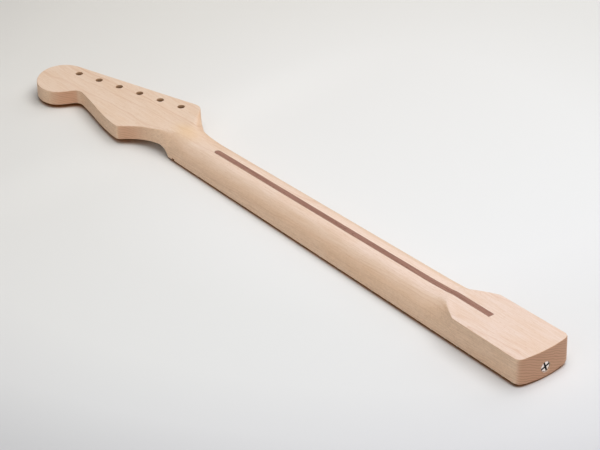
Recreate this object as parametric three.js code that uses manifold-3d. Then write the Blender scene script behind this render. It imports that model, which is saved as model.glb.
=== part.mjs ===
// Bolt-on electric guitar neck: one piece of maple with its fretted board, carved back, slotted truss rod nut
// and six-in-line headstock.
// Lengths are millimetres. While it is drawn, X = 0 is the end of the heel and the headstock lies towards -X,
// +Y is the bass side with the tuner holes, and Z = 0 is the crown of the fingerboard, which faces down.
// The finished neck is then moved so that its origin is the middle of the heel's seat.
import * as THREE from "three";
import { mergeVertices } from "three/addons/utils/BufferGeometryUtils.js";
import Module from "manifold-3d";

const wasm = await Module();
wasm.setup();

// Fingerboard
const scaleLength = 648;
const fretsPerOctave = 12;
const fretCount = 21;
const lastFretToHeel = 8.85;
const boardRadius = 184;
const nutWidth = 42;
const heelWidth = 56;
const boardSideHeight = 3.5;

// Heel
const heelThickness = 25.4;
const heelEndRadius = 140;
const heelCornerRadius = 5.5;
const heelFlatLength = 80;
const heelFadeLength = 113;
const heelRampStart = 96;
const heelRampEnd = 138;
const heelSeatLength = 76;

// Carved shaft
const twelfthFretThickness = 23.5;
const firstFretThickness = 20;
const carveExponentShare = 2;
const fullWidthShare = 0.995;
const heelFadeShare = 0.62;

// Headstock
const headLength = 193.8;
const headWidth = 93;
const headThickness = 14;
const headBackHeight = 24.35;
const headSideHeight = 1;
const headRampStart = 26;
const headRampEnd = 18;
const headFlatStart = 20;
const headFlatEnd = 34;
const scoopRadius = 14;
const scoopFromNut = 22.8;

// Headstock outline as shares of its length from the nut and of its width, from the bass side of the nut
// round the tip to the treble side
const headOutlineShares = [
  [0.009, 0.226], [0.035, 0.231], [0.066, 0.249], [0.097, 0.28], [0.133, 0.327], [0.159, 0.361],
  [0.182, 0.38], [0.211, 0.375], [0.262, 0.344], [0.417, 0.249], [0.572, 0.155], [0.727, 0.06],
  [0.866, -0.025], [0.912, -0.053], [0.943, -0.082], [0.972, -0.129], [0.992, -0.204], [1, -0.29],
  [0.991, -0.387], [0.965, -0.484], [0.925, -0.562], [0.876, -0.61], [0.83, -0.619], [0.786, -0.597],
  [0.755, -0.546], [0.734, -0.478], [0.718, -0.409], [0.703, -0.37], [0.683, -0.357], [0.639, -0.368],
  [0.546, -0.409], [0.443, -0.458], [0.365, -0.486], [0.309, -0.497], [0.28, -0.494], [0.265, -0.467],
  [0.241, -0.406], [0.213, -0.346], [0.182, -0.299], [0.149, -0.265], [0.112, -0.242], [0.071, -0.229],
  [0.03, -0.226], [0.009, -0.226],
];

// Tuner holes, in a row between two places given as shares of the headstock's length and width
const tunerCount = 6;
const tunerHoleRadius = 3.5;
const firstTunerShares = [0.2348, 0.2323];
const lastTunerShares = [0.8467, -0.1419];

// Nut slot
const nutSlotWidth = 3.2;
const nutSlotDepth = 3;

// Frets
const fretCrownWidth = 2.2;
const fretCrownHeight = 1.1;
const fretBevelLength = 1.1;
const fretBevelShare = 0.25;
const tangWidth = 0.5;
const tangDepth = 1.5;
const tangSlack = 0.05;
const tangFloorGap = 0.3;
const fretSeatGap = 0.1;

// Position dots
const faceDotRadius = 3.1;
const faceDotDepth = 1.5;
const twelfthDotSpread = 24;
const sideDotRadius = 1.2;
const sideDotDepth = 2.5;
const sideDotDrop = 1.9;
const sideDotPair = 8;
const dotFit = 0.05;
const singleDotFrets = [3, 5, 7, 9, 15, 17, 19, 21];
const doubleDotFret = fretsPerOctave;

// Truss rod, its channel and its hardware
const rodRadius = 2.4;
const rodHeelHeight = 9;
const rodHeadHeight = 11.5;
const rodHeadFall = 4.3;
const rodHeadRun = 51;
const rodGap = 0.3;
const channelWidth = 6;
const channelHeelReach = 62.5;
const channelNutGap = 36.9;
const trussNutRadius = 4.6;
const trussNutLength = 14;
const trussNutRecess = 0.8;
const trussNutTurnShare = 1 / 18;
const trussSlotWidth = 1.3;
const trussSlotDepth = 2.6;
const trussNutWall = 1.5;
const nutHoleGap = 0.4;
const nutRunGap = 0.1;
const washerThickness = 1.2;
const anchorRadius = 3.6;
const anchorLength = 3.8;
const anchorFromNut = 6.2;
const anchorHoleGap = 0.3;
const plugGap = 0.3;
const plugFit = 0.05;
const overrun = 6;

// Fineness of the round shapes
const boardSteps = 6;
const fretSteps = 5;
const carveSteps = 4;
const flatSteps = 4;
const roundSides = 12;
const tunerHoleSides = 20;
const outlineSteps = 3;
const rodSides = 8;
const rodSteps = 24;
const curveSteps = 12;
const crownSteps = 4;
const cornerSteps = 4;
const fadeSteps = 12;
const shaftSteps = 4;
const rampSteps = 8;
const scoopSteps = 5;
const headStationGap = 2.6;
const tipLength = 5;
const heelEndShares = [0.15, 0.4, 0.6, 0.8, 0.95];
const tipShares = [0.7, 0.4, 0.18, 0.04];

const nutReach = scaleLength * (1 - 2 ** (-fretCount / fretsPerOctave)) + lastFretToHeel;
const nutX = -nutReach;
const headTipX = nutX - headLength;
const headFrontHeight = headBackHeight - headThickness;
const scoopX = nutX - scoopFromNut;
const nutSlotX = nutX - nutSlotWidth / 2;

const materials = {
  maple: new THREE.MeshStandardMaterial({ color: "#e6cfb4", roughness: 0.6, metalness: 0 }),
  walnut: new THREE.MeshStandardMaterial({ color: "#8a6658", roughness: 0.6, metalness: 0 }),
  steel: new THREE.MeshStandardMaterial({ color: "#b9b7b2", roughness: 0.35, metalness: 1 }),
  nickel: new THREE.MeshStandardMaterial({ color: "#c9c6bd", roughness: 0.25, metalness: 1 }),
  dot: new THREE.MeshStandardMaterial({ color: "#1b1a19", roughness: 0.4, metalness: 0 }),
};

// Solids: closed meshes joined and cut

function toSolid(geometry) {
  const plain = geometry.clone();
  plain.deleteAttribute("normal");
  plain.deleteAttribute("uv");
  const merged = mergeVertices(plain);
  return new wasm.Manifold(new wasm.Mesh({
    numProp: 3,
    vertProperties: new Float32Array(merged.attributes.position.array),
    triVerts: new Uint32Array(merged.index.array),
  }));
}

function toGeometry(solid) {
  const mesh = solid.getMesh();
  const geometry = new THREE.BufferGeometry();
  geometry.setAttribute("position", new THREE.BufferAttribute(mesh.vertProperties, 3));
  geometry.setIndex(new THREE.BufferAttribute(mesh.triVerts, 1));
  geometry.computeVertexNormals();
  return geometry;
}

function cutAll(solid, cutters) {
  return cutters.reduce((left, cutter) => left.subtract(cutter), solid);
}

// Closed skin over rings of equal point count, with both ends capped
function loft(rings, capOutline) {
  const count = rings[0].length;
  const index = [];
  for (let ring = 0; ring + 1 < rings.length; ring += 1) {
    for (let point = 0; point < count; point += 1) {
      const next = (point + 1) % count;
      const near = ring * count;
      const far = near + count;
      index.push(near + point, near + next, far + next, near + point, far + next, far + point);
    }
  }
  const last = (rings.length - 1) * count;
  for (const [a, b, c] of THREE.ShapeUtils.triangulateShape(capOutline, [])) {
    index.push(a, c, b, last + a, last + b, last + c);
  }
  const points = rings.flat();
  const volume = index.reduce((sum, _, i) => {
    if (i % 3) return sum;
    const [a, b, c] = [points[index[i]], points[index[i + 1]], points[index[i + 2]]];
    return sum + a.dot(new THREE.Vector3().crossVectors(b, c));
  }, 0);
  const geometry = new THREE.BufferGeometry().setFromPoints(points);
  geometry.setIndex(volume > 0 ? index : index.reverse());
  return geometry;
}

// Cylinder that runs along a direction from a start point
function rod(start, direction, length, radius, sides = roundSides) {
  const geometry = new THREE.CylinderGeometry(radius, radius, length, sides);
  const turn = new THREE.Quaternion().setFromUnitVectors(new THREE.Vector3(0, 1, 0), direction);
  const middle = start.clone().addScaledVector(direction, length / 2);
  return geometry.applyQuaternion(turn).translate(middle.x, middle.y, middle.z);
}

// Outer form of the neck

const mix = THREE.MathUtils.lerp;
const smooth = THREE.MathUtils.smoothstep;

function spaced(from, to, count) {
  return Array.from({ length: count }, (_, step) => mix(from, to, step / count));
}

function boardHeight(y) {
  return boardRadius - Math.sqrt(boardRadius ** 2 - y ** 2);
}

function fretX(fret) {
  return nutX + scaleLength * (1 - 2 ** (-fret / fretsPerOctave));
}

function taperHalf(x) {
  return mix(heelWidth, nutWidth, -x / nutReach) / 2;
}

// Heel end in plan: a large arc that meets two rounded corners
const cornerInner = heelEndRadius - heelCornerRadius;
const cornerY = taperHalf(-heelCornerRadius) - heelCornerRadius;
const cornerX = Math.sqrt(cornerInner ** 2 - cornerY ** 2) - heelEndRadius;
const cornerMeetX = (cornerX + heelEndRadius) * heelEndRadius / cornerInner - heelEndRadius;

function heelHalf(x) {
  if (x > cornerMeetX) return Math.sqrt(heelEndRadius ** 2 - (x + heelEndRadius) ** 2);
  if (x > cornerX) return cornerY + Math.sqrt(heelCornerRadius ** 2 - (x - cornerX) ** 2);
  return taperHalf(x);
}

function onHead([along, across]) {
  return new THREE.Vector3(nutX - along * headLength, across * headWidth, 0);
}

const headPoints = headOutlineShares.map(onHead);
const headOutline = new THREE.CatmullRomCurve3(headPoints, false, "centripetal")
  .getPoints(headPoints.length * outlineSteps);
const tipIndex = headOutline.reduce((best, point, i) => (point.x < headOutline[best].x ? i : best), 0);
const bassSide = headOutline.slice(0, tipIndex + 1);
const trebleSide = headOutline.slice(tipIndex).reverse();

function sideAt(line, x) {
  const next = line.findIndex((point) => point.x <= x);
  if (next < 1) return next < 0 ? line.at(-1).y : line[0].y;
  const [before, after] = [line[next - 1], line[next]];
  return mix(before.y, after.y, (before.x - x) / (before.x - after.x));
}

// Bass and treble edges of the plan outline
function edges(x) {
  if (x > bassSide[0].x) return [heelHalf(x), -heelHalf(x)];
  return [sideAt(bassSide, x), sideAt(trebleSide, x)];
}

// Front face: fingerboard, ledge behind the nut, scoop and headstock face
function frontHeight(x, y) {
  if (x <= scoopX) return headFrontHeight;
  const board = boardHeight(THREE.MathUtils.clamp(y, -taperHalf(x), taperHalf(x)));
  const offset = x - scoopX;
  if (offset >= scoopRadius) return board;
  return Math.max(board, headFrontHeight - scoopRadius + Math.sqrt(scoopRadius ** 2 - offset ** 2));
}

// Height of the shaft's crown, which swells into the heel and ramps up to the headstock
function crownHeight(x) {
  const along = (x - fretX(1)) / (fretX(12) - fretX(1));
  const shaft = mix(firstFretThickness, twelfthFretThickness, along);
  const atHeel = smooth(x, -heelRampEnd, -heelRampStart);
  const atHead = 1 - smooth(x, nutX - headRampEnd, nutX + headRampStart);
  return mix(mix(shaft, heelThickness, atHeel), headBackHeight, atHead);
}

// Share of the width that the flat back takes: all of it on the heel and the headstock, none on the shaft
function flatShare(x) {
  const heel = THREE.MathUtils.clamp((x + heelFadeLength) / (heelFadeLength - heelFlatLength), 0, 1);
  const head = 1 - smooth(x, nutX - headFlatEnd, nutX + headFlatStart);
  return Math.min(Math.max(heel ** heelFadeShare, head), fullWidthShare);
}

// One cross-section: fingerboard side first, then the back from the bass edge to the treble edge
function section(x) {
  const [bass, treble] = edges(x);
  const middle = (bass + treble) / 2;
  const ceiling = x > (fretX(1) + fretX(12)) / 2 ? heelThickness : headBackHeight;
  const swell = (1 - flatShare(x) ** carveExponentShare) ** (-1 / carveExponentShare);
  const front = Array.from({ length: boardSteps + 1 }, (_, step) => {
    const y = mix(treble, bass, step / boardSteps);
    return new THREE.Vector3(x, y, frontHeight(x, y));
  });
  const back = (edge) => {
    const start = Math.min(frontHeight(x, edge) + boardSideHeight, headFrontHeight + headSideHeight);
    const rise = (crownHeight(x) - start) * swell;
    const clipSine = Math.min((ceiling - start) / rise, 1) ** (carveExponentShare / 2);
    const split = Math.min(Math.asin(clipSine), Math.PI / 3);
    const angles = [...spaced(0, split, carveSteps), ...spaced(split, Math.PI / 2, flatSteps)];
    return angles.map((angle) => new THREE.Vector3(
      x,
      mix(middle, edge, Math.cos(angle) ** (2 / carveExponentShare)),
      Math.min(start + rise * Math.sin(angle) ** (2 / carveExponentShare), ceiling),
    ));
  };
  const crown = new THREE.Vector3(x, middle, Math.min(crownHeight(x), ceiling));
  return [...front, ...back(bass), crown, ...back(treble).reverse()];
}

// Places along the neck of the sections, close together where the plan or the back turns
function stations() {
  const ledge = headFrontHeight - scoopRadius - boardHeight(nutWidth / 2);
  const ledgeAngle = Math.acos(-ledge / scoopRadius);
  const meetHalf = heelHalf(cornerMeetX);
  const heelEnd = heelEndShares.map((share) => (
    Math.sqrt(heelEndRadius ** 2 - (share * meetHalf) ** 2) - heelEndRadius
  ));
  const cornerAngle = Math.acos((cornerMeetX - cornerX) / heelCornerRadius);
  const corner = spaced(cornerAngle, Math.PI / 2, cornerSteps).map((angle) => (
    cornerX + heelCornerRadius * Math.cos(angle)
  ));
  const fade = spaced(-heelFlatLength, -heelRampEnd, fadeSteps);
  const shaft = spaced(-heelRampEnd, nutX + headRampStart, shaftSteps);
  const ramp = spaced(nutX + headRampStart, scoopX + scoopRadius * Math.sin(ledgeAngle), rampSteps);
  const scoop = spaced(ledgeAngle, 0, scoopSteps).map((angle) => scoopX + scoopRadius * Math.sin(angle));
  const head = [scoopX];
  for (const { x } of [...headOutline].sort((a, b) => b.x - a.x)) {
    if (x < head.at(-1) - headStationGap && x > headTipX + tipLength) head.push(x);
  }
  const tip = tipShares.map((share) => headTipX + tipLength * share);
  return [...heelEnd, ...corner, cornerX, ...fade, ...shaft, ...ramp, ...scoop, ...head, ...tip];
}

function roughNeck() {
  const rings = stations().map(section);
  return toSolid(loft(rings, rings[0].map((point) => new THREE.Vector2(point.y, point.z))));
}

// Shapes bent to the fingerboard's radius

// Point at an angle round the board's arc and a depth below its surface
function underBoard(x, angle, depth) {
  const radius = boardRadius - depth;
  return new THREE.Vector3(x, radius * Math.sin(angle), boardRadius - radius * Math.cos(angle));
}

function sweepBoard(x, angles, profileAt) {
  const rings = angles.map((angle) => (
    profileAt(angle).map(([across, depth]) => underBoard(x + across, angle, depth))
  ));
  return loft(rings, profileAt(0).map(([across, depth]) => new THREE.Vector2(across, depth)));
}

function fretGeometry(fret) {
  const x = fretX(fret);
  const end = Math.asin(taperHalf(x) / boardRadius);
  const inner = end - fretBevelLength / boardRadius;
  const angles = [-end, ...spaced(-inner, inner, fretSteps), inner, end];
  const crownAngles = spaced(Math.PI, 0, crownSteps);
  return sweepBoard(x, angles, (angle) => {
    const height = fretCrownHeight * (Math.abs(angle) < end ? 1 : fretBevelShare);
    const crown = crownAngles.map((turn) => [
      fretCrownWidth / 2 * Math.cos(turn),
      -fretSeatGap - height * Math.sin(turn),
    ]);
    return [
      [-tangWidth / 2, tangDepth],
      [-tangWidth / 2, -fretSeatGap],
      ...crown,
      [fretCrownWidth / 2, -fretSeatGap],
      [tangWidth / 2, -fretSeatGap],
      [tangWidth / 2, tangDepth],
    ];
  });
}

function fretSlot(fret) {
  const x = fretX(fret);
  const end = Math.asin((taperHalf(x) + overrun) / boardRadius);
  const half = tangWidth / 2 + tangSlack;
  const floor = tangDepth + tangFloorGap;
  const profile = [[-half, floor], [-half, -overrun], [half, -overrun], [half, floor]];
  return sweepBoard(x, [...spaced(-end, end, fretSteps), end], () => profile);
}

// Position dots and their holes, each as one cylinder with a fit round it

function betweenFrets(fret) {
  return (fretX(fret - 1) + fretX(fret)) / 2;
}

function faceDot({ fret, side }, fit, length) {
  const angle = Math.asin(side * twelfthDotSpread / 2 / boardRadius);
  const start = underBoard(betweenFrets(fret), angle, faceDotDepth + fit);
  const outward = new THREE.Vector3(0, Math.sin(angle), -Math.cos(angle));
  return rod(start, outward, length + fit, faceDotRadius + fit);
}

function sideDot({ fret, side }, fit, length) {
  const x = betweenFrets(fret) + side * sideDotPair / 2;
  const edge = taperHalf(x);
  const start = new THREE.Vector3(x, edge - sideDotDepth - fit, boardHeight(edge) + sideDotDrop);
  return rod(start, new THREE.Vector3(0, 1, 0), length + fit, sideDotRadius + fit);
}

const dots = [
  ...singleDotFrets.map((fret) => ({ fret, side: 0, name: `${fret}`.padStart(2, "0") })),
  { fret: doubleDotFret, side: 1, name: `${doubleDotFret}_a` },
  { fret: doubleDotFret, side: -1, name: `${doubleDotFret}_b` },
];

// Truss rod: straight in the heel, bent in its channel, and sloping forward to the anchor behind the nut slot

const channelHeelX = -channelHeelReach;
const channelHeadX = nutX + channelNutGap;
const headSlope = rodHeadFall / rodHeadRun;
const towardsHead = new THREE.Vector3(-rodHeadRun, 0, -rodHeadFall).normalize();
const rodEndX = -(trussNutRecess + trussSlotDepth + trussNutWall + rodGap);
const anchorX = nutX - anchorFromNut;

function onHeadLine(x) {
  return new THREE.Vector3(x, 0, rodHeadHeight - (channelHeadX - x) * headSlope);
}

const bendThird = (channelHeelX - channelHeadX) / 3;
const rodBend = new THREE.CubicBezierCurve3(
  new THREE.Vector3(channelHeelX, 0, rodHeelHeight),
  new THREE.Vector3(channelHeelX - bendThird, 0, rodHeelHeight),
  onHeadLine(channelHeadX + bendThird),
  onHeadLine(channelHeadX),
);

function rodGeometry() {
  const path = new THREE.CurvePath();
  path.add(new THREE.LineCurve3(new THREE.Vector3(rodEndX, 0, rodHeelHeight), rodBend.v0));
  path.add(rodBend);
  path.add(new THREE.LineCurve3(rodBend.v3, onHeadLine(anchorX - anchorLength)));
  const round = new THREE.Shape(new THREE.EllipseCurve(0, 0, rodRadius, rodRadius).getPoints(rodSides));
  return new THREE.ExtrudeGeometry(round, { extrudePath: path, steps: rodSteps, bevelEnabled: false });
}

// Slot in plan, square at the heel and round at the head, kept above a line that follows the rod
function channelSolid(belowRod) {
  const half = channelWidth / 2;
  const plan = new THREE.Shape();
  plan.moveTo(channelHeelX, half);
  plan.lineTo(channelHeadX + half, half);
  plan.absarc(channelHeadX + half, 0, half, Math.PI / 2, 3 * Math.PI / 2);
  plan.lineTo(channelHeelX, -half);
  const slot = new THREE.ExtrudeGeometry(plan, {
    depth: heelThickness + overrun,
    bevelEnabled: false,
    curveSegments: curveSteps,
  });
  const shift = new THREE.Vector2(0, belowRod);
  const lower = rodBend.getPoints(curveSteps).map((point) => new THREE.Vector2(point.x, point.z).add(shift));
  const headEnd = onHeadLine(channelHeadX - overrun);
  const band = new THREE.Shape([
    new THREE.Vector2(channelHeelX + overrun, rodHeelHeight + belowRod),
    ...lower,
    new THREE.Vector2(headEnd.x, headEnd.z + belowRod),
    new THREE.Vector2(headEnd.x, heelThickness + 2 * overrun),
    new THREE.Vector2(channelHeelX + overrun, heelThickness + 2 * overrun),
  ]);
  const width = channelWidth + 2 * overrun;
  const side = new THREE.ExtrudeGeometry(band, { depth: width, bevelEnabled: false });
  side.rotateX(Math.PI / 2).translate(0, width / 2, 0);
  return toSolid(slot).intersect(toSolid(side));
}

const towardsNut = new THREE.Vector3(-1, 0, 0);
const nutFace = new THREE.Vector3(-trussNutRecess, 0, rodHeelHeight);
const washerFace = nutFace.clone().addScaledVector(towardsNut, trussNutLength + nutRunGap);
const boreFloor = washerFace.clone().addScaledVector(towardsNut, washerThickness);

function trussNutGeometry() {
  const boreTop = trussSlotDepth + trussNutWall;
  const profile = [
    [0, 0],
    [trussNutRadius, 0],
    [trussNutRadius, trussNutLength],
    [rodRadius + rodGap, trussNutLength],
    [rodRadius + rodGap, boreTop],
    [0, boreTop],
  ];
  const barrel = lathe(profile, roundSides * 2).rotateZ(Math.PI / 2);
  const slots = [0, Math.PI / 2].map((turn) => (
    toSolid(new THREE.BoxGeometry(trussSlotDepth * 2, trussSlotWidth, trussNutRadius * 3)
      .rotateX(turn + trussNutTurnShare * 2 * Math.PI))
  ));
  return toGeometry(cutAll(toSolid(barrel), slots)).translate(nutFace.x, 0, nutFace.z);
}

function lathe(profile, sides) {
  const points = profile.map(([radius, along]) => new THREE.Vector2(radius, along));
  return new THREE.LatheGeometry(points, sides);
}

function ringGeometry(inner, outer, length) {
  const profile = [[inner, 0], [outer, 0], [outer, length], [inner, length], [inner, 0]];
  return lathe(profile, roundSides);
}

function washerGeometry() {
  return ringGeometry(rodRadius + rodGap, trussNutRadius, washerThickness)
    .rotateZ(Math.PI / 2)
    .translate(washerFace.x, 0, washerFace.z);
}

function anchorGeometry() {
  const start = onHeadLine(anchorX);
  return ringGeometry(rodRadius + rodGap, anchorRadius, anchorLength)
    .applyQuaternion(new THREE.Quaternion().setFromUnitVectors(new THREE.Vector3(0, 1, 0), towardsHead))
    .translate(start.x, 0, start.z);
}

function anchorHole(startX, radius) {
  return toSolid(rod(onHeadLine(startX), towardsHead, scoopFromNut + overrun + startX - nutX, radius));
}

function rodHoles() {
  const heelHole = channelHeelReach + overrun + boreFloor.x;
  const bendEnd = channelHeadX + channelWidth / 2;
  const mouth = nutFace.clone().setX(overrun);
  return [
    toSolid(rod(mouth, towardsNut, overrun - boreFloor.x, trussNutRadius + nutHoleGap)),
    toSolid(rod(boreFloor, towardsNut, heelHole, rodRadius + rodGap)),
    toSolid(rod(onHeadLine(bendEnd), towardsHead, bendEnd - anchorX + overrun / 2, rodRadius + rodGap)),
    anchorHole(anchorX, anchorRadius + anchorHoleGap),
  ];
}

// Holes and slots of the blank

function tunerHoles() {
  const row = new THREE.LineCurve3(onHead(firstTunerShares), onHead(lastTunerShares));
  return row.getPoints(tunerCount - 1).map((point) => {
    const start = point.setZ(headFrontHeight - overrun);
    const length = headThickness + 2 * overrun;
    return toSolid(rod(start, new THREE.Vector3(0, 0, 1), length, tunerHoleRadius, tunerHoleSides));
  });
}

function nutSlot() {
  const height = nutSlotDepth + overrun;
  const slot = new THREE.BoxGeometry(nutSlotWidth, nutWidth + 2 * overrun, height);
  return toSolid(slot.translate(nutSlotX, 0, nutSlotDepth - height / 2));
}

const frets = Array.from({ length: fretCount }, (_, i) => i + 1);
const rough = roughNeck();
const blank = cutAll(rough, [
  nutSlot(),
  ...tunerHoles(),
  channelSolid(-rodRadius - rodGap),
  ...rodHoles(),
  ...frets.map((fret) => toSolid(fretSlot(fret))),
  ...dots.map((dot) => toSolid(faceDot(dot, dotFit, faceDotDepth + overrun))),
  ...dots.map((dot) => toSolid(sideDot(dot, dotFit, sideDotDepth + overrun))),
]);
const stripe = rough.intersect(channelSolid(rodRadius + rodGap));
const plug = rough.intersect(anchorHole(
  anchorX - anchorLength - plugGap,
  anchorRadius + anchorHoleGap - plugFit,
));

// The assembly

const neck = new THREE.Group();

function addPart(name, geometry, material) {
  const mesh = new THREE.Mesh(geometry, material);
  mesh.name = name;
  neck.add(mesh);
}

addPart("neck_blank", toGeometry(blank), materials.maple);
addPart("back_stripe", toGeometry(stripe), materials.walnut);
addPart("head_plug", toGeometry(plug), materials.walnut);
addPart("truss_rod", rodGeometry(), materials.steel);
addPart("truss_rod_nut", trussNutGeometry(), materials.steel);
addPart("rod_washer", washerGeometry(), materials.steel);
addPart("rod_anchor", anchorGeometry(), materials.steel);
for (const fret of frets) {
  addPart(`fret_${`${fret}`.padStart(2, "0")}`, fretGeometry(fret), materials.nickel);
}
for (const dot of dots) {
  addPart(`face_dot_${dot.name}`, faceDot(dot, 0, faceDotDepth), materials.dot);
  addPart(`side_dot_${dot.name}`, sideDot(dot, 0, sideDotDepth), materials.dot);
}

neck.position.set(heelSeatLength / 2, 0, -heelThickness);

export default neck;
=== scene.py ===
# Unfinished maple guitar neck lying on its frets on a pale floor, back side up.
# Lengths are millimetres in the neck's own drawing: X = 0 is the end of the heel, the headstock lies towards
# -X, +Y is the bass side with the tuner holes, and Z = 0 is the crown of the fingerboard, which faces down.
# place() turns them into the frame's metres.
import math
from contextlib import contextmanager

import bmesh
import bpy
import numpy as np
from mathutils import Matrix, Vector


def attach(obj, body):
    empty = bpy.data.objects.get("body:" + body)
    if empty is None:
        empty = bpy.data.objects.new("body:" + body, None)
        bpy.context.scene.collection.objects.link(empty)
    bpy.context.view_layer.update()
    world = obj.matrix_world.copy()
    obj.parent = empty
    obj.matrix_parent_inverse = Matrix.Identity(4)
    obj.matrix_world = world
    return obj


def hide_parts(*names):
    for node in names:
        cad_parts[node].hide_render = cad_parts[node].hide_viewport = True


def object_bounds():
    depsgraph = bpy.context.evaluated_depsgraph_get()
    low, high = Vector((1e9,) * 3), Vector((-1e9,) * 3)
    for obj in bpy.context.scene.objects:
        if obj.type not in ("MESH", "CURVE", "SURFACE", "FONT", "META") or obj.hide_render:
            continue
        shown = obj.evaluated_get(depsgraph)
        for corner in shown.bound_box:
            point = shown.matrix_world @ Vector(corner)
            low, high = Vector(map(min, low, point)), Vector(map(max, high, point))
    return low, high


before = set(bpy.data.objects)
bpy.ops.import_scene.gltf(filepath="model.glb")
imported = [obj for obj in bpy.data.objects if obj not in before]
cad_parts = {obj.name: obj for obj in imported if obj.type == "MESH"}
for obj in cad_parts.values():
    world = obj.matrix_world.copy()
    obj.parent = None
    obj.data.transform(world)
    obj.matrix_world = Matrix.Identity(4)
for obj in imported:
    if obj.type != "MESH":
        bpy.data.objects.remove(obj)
cad_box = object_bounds()

MM = 0.001

# Fingerboard
SCALE_LENGTH = 648
FRETS_PER_OCTAVE = 12
FRET_COUNT = 21
LAST_FRET_TO_HEEL = 8.85
BOARD_RADIUS = 184
NUT_WIDTH = 42
HEEL_WIDTH = 56
BOARD_SIDE_HEIGHT = 3.5

# Heel
HEEL_THICKNESS = 25.4
HEEL_END_RADIUS = 140
HEEL_CORNER_RADIUS = 5.5
HEEL_FLAT_LENGTH = 80
HEEL_FADE_LENGTH = 113
HEEL_RAMP_START = 96
HEEL_RAMP_END = 138
HEEL_SEAT_LENGTH = 76

# Carved shaft
TWELFTH_FRET_THICKNESS = 23.5
FIRST_FRET_THICKNESS = 20
CARVE_EXPONENT = 2
FULL_WIDTH_SHARE = 0.995
HEEL_FADE_SHARE = 0.62

# Headstock
HEAD_LENGTH = 193.8
HEAD_WIDTH = 93
HEAD_THICKNESS = 14
HEAD_BACK_HEIGHT = 24.35
HEAD_SIDE_HEIGHT = 1
HEAD_RAMP_START = 26
HEAD_RAMP_END = 18
HEAD_FLAT_START = 20
HEAD_FLAT_END = 34
SCOOP_RADIUS = 14
SCOOP_FROM_NUT = 22.8

# How softly the carve blends into the flat back, and where the crisp crease fades into that
HEEL_CREASE_SOFTNESS = 2.2
HEEL_CREASE_START = 88
HEEL_CREASE_END = 108
HEAD_CREASE_SOFTNESS = 3.2
HEAD_CREASE_START = 40
HEAD_CREASE_END = 14
CRISP_SOFTNESS = 0.05

# Headstock outline as shares of its length from the nut and of its width, from the bass side of the nut
# round the tip to the treble side
HEAD_OUTLINE_SHARES = [
    (0.009, 0.226), (0.035, 0.231), (0.066, 0.249), (0.097, 0.28), (0.133, 0.327), (0.159, 0.361),
    (0.182, 0.38), (0.211, 0.375), (0.262, 0.344), (0.417, 0.249), (0.572, 0.155), (0.727, 0.06),
    (0.866, -0.025), (0.912, -0.053), (0.943, -0.082), (0.972, -0.129), (0.992, -0.204), (1, -0.29),
    (0.991, -0.387), (0.965, -0.484), (0.925, -0.562), (0.876, -0.61), (0.83, -0.619), (0.786, -0.597),
    (0.755, -0.546), (0.734, -0.478), (0.718, -0.409), (0.703, -0.37), (0.683, -0.357), (0.639, -0.368),
    (0.546, -0.409), (0.443, -0.458), (0.365, -0.486), (0.309, -0.497), (0.28, -0.494), (0.265, -0.467),
    (0.241, -0.406), (0.213, -0.346), (0.182, -0.299), (0.149, -0.265), (0.112, -0.242), (0.071, -0.229),
    (0.03, -0.226), (0.009, -0.226),
]
HEAD_OUTLINE_STEPS = 12

# Tuner holes, in a row between two places given as shares of the headstock's length and width
TUNER_COUNT = 6
TUNER_HOLE_RADIUS = 3.5
FIRST_TUNER_SHARES = (0.2348, 0.2323)
LAST_TUNER_SHARES = (0.8467, -0.1419)

# Nut slot
NUT_SLOT_WIDTH = 3.2
NUT_SLOT_DEPTH = 3

# Fret wire
FRET_CROWN_WIDTH = 2.2
FRET_CROWN_HEIGHT = 1.1
FRET_BEVEL_LENGTH = 1.1
FRET_BEVEL_SHARE = 0.2
TANG_WIDTH = 0.5
TANG_DEPTH = 1.5
TANG_SLACK = 0.05
TANG_FLOOR_GAP = 0.3

# Position dots
FACE_DOT_RADIUS = 3.1
FACE_DOT_DEPTH = 1.5
TWELFTH_DOT_SPREAD = 24
SIDE_DOT_RADIUS = 1.2
SIDE_DOT_DEPTH = 2.5
SIDE_DOT_DROP = 1.9
SIDE_DOT_PAIR = 8
SINGLE_DOT_FRETS = (3, 5, 7, 9, 15, 17, 19, 21)

# Truss rod, its channel and its hardware
ROD_RADIUS = 2.4
ROD_HEEL_HEIGHT = 9
ROD_HEAD_HEIGHT = 11.5
ROD_HEAD_FALL = 4.3
ROD_HEAD_RUN = 51
ROD_GAP = 0.3
CHANNEL_WIDTH = 6
CHANNEL_HEEL_REACH = 62.5
CHANNEL_NUT_GAP = 36.9
TRUSS_NUT_RADIUS = 4.6
TRUSS_NUT_LENGTH = 14
TRUSS_NUT_RECESS = 0.8
TRUSS_NUT_CHAMFER = 0.3
TRUSS_NUT_TURN = math.radians(20)
TRUSS_SLOT_WIDTH = 1.3
TRUSS_SLOT_DEPTH = 2.6
TRUSS_NUT_WALL = 1.5
NUT_HOLE_GAP = 0.4
NUT_RUN_GAP = 0.1
WASHER_THICKNESS = 1.2
ANCHOR_RADIUS = 3.6
ANCHOR_LENGTH = 3.8
ANCHOR_FROM_NUT = 6.2
ANCHOR_HOLE_GAP = 0.3
PLUG_GAP = 0.3

# How far cutters reach beyond the wood, and the slots' cutters as a share of the nut's radius
OVERRUN = 6
SLOT_CUTTER_SHARE = 1.5

# Sanded edges: how far each kind of edge is rounded over
BACK_EDGE_EASE = 0.7
BOARD_EDGE_EASE = 0.45
HEAD_EDGE_EASE = 0.7
HOLE_EDGE_EASE = 0.15
SLOT_EDGE_EASE = 0.12
SLOT_EDGE_SEGMENTS = 2
SLOT_EDGE_ANGLE = math.radians(50)

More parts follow.
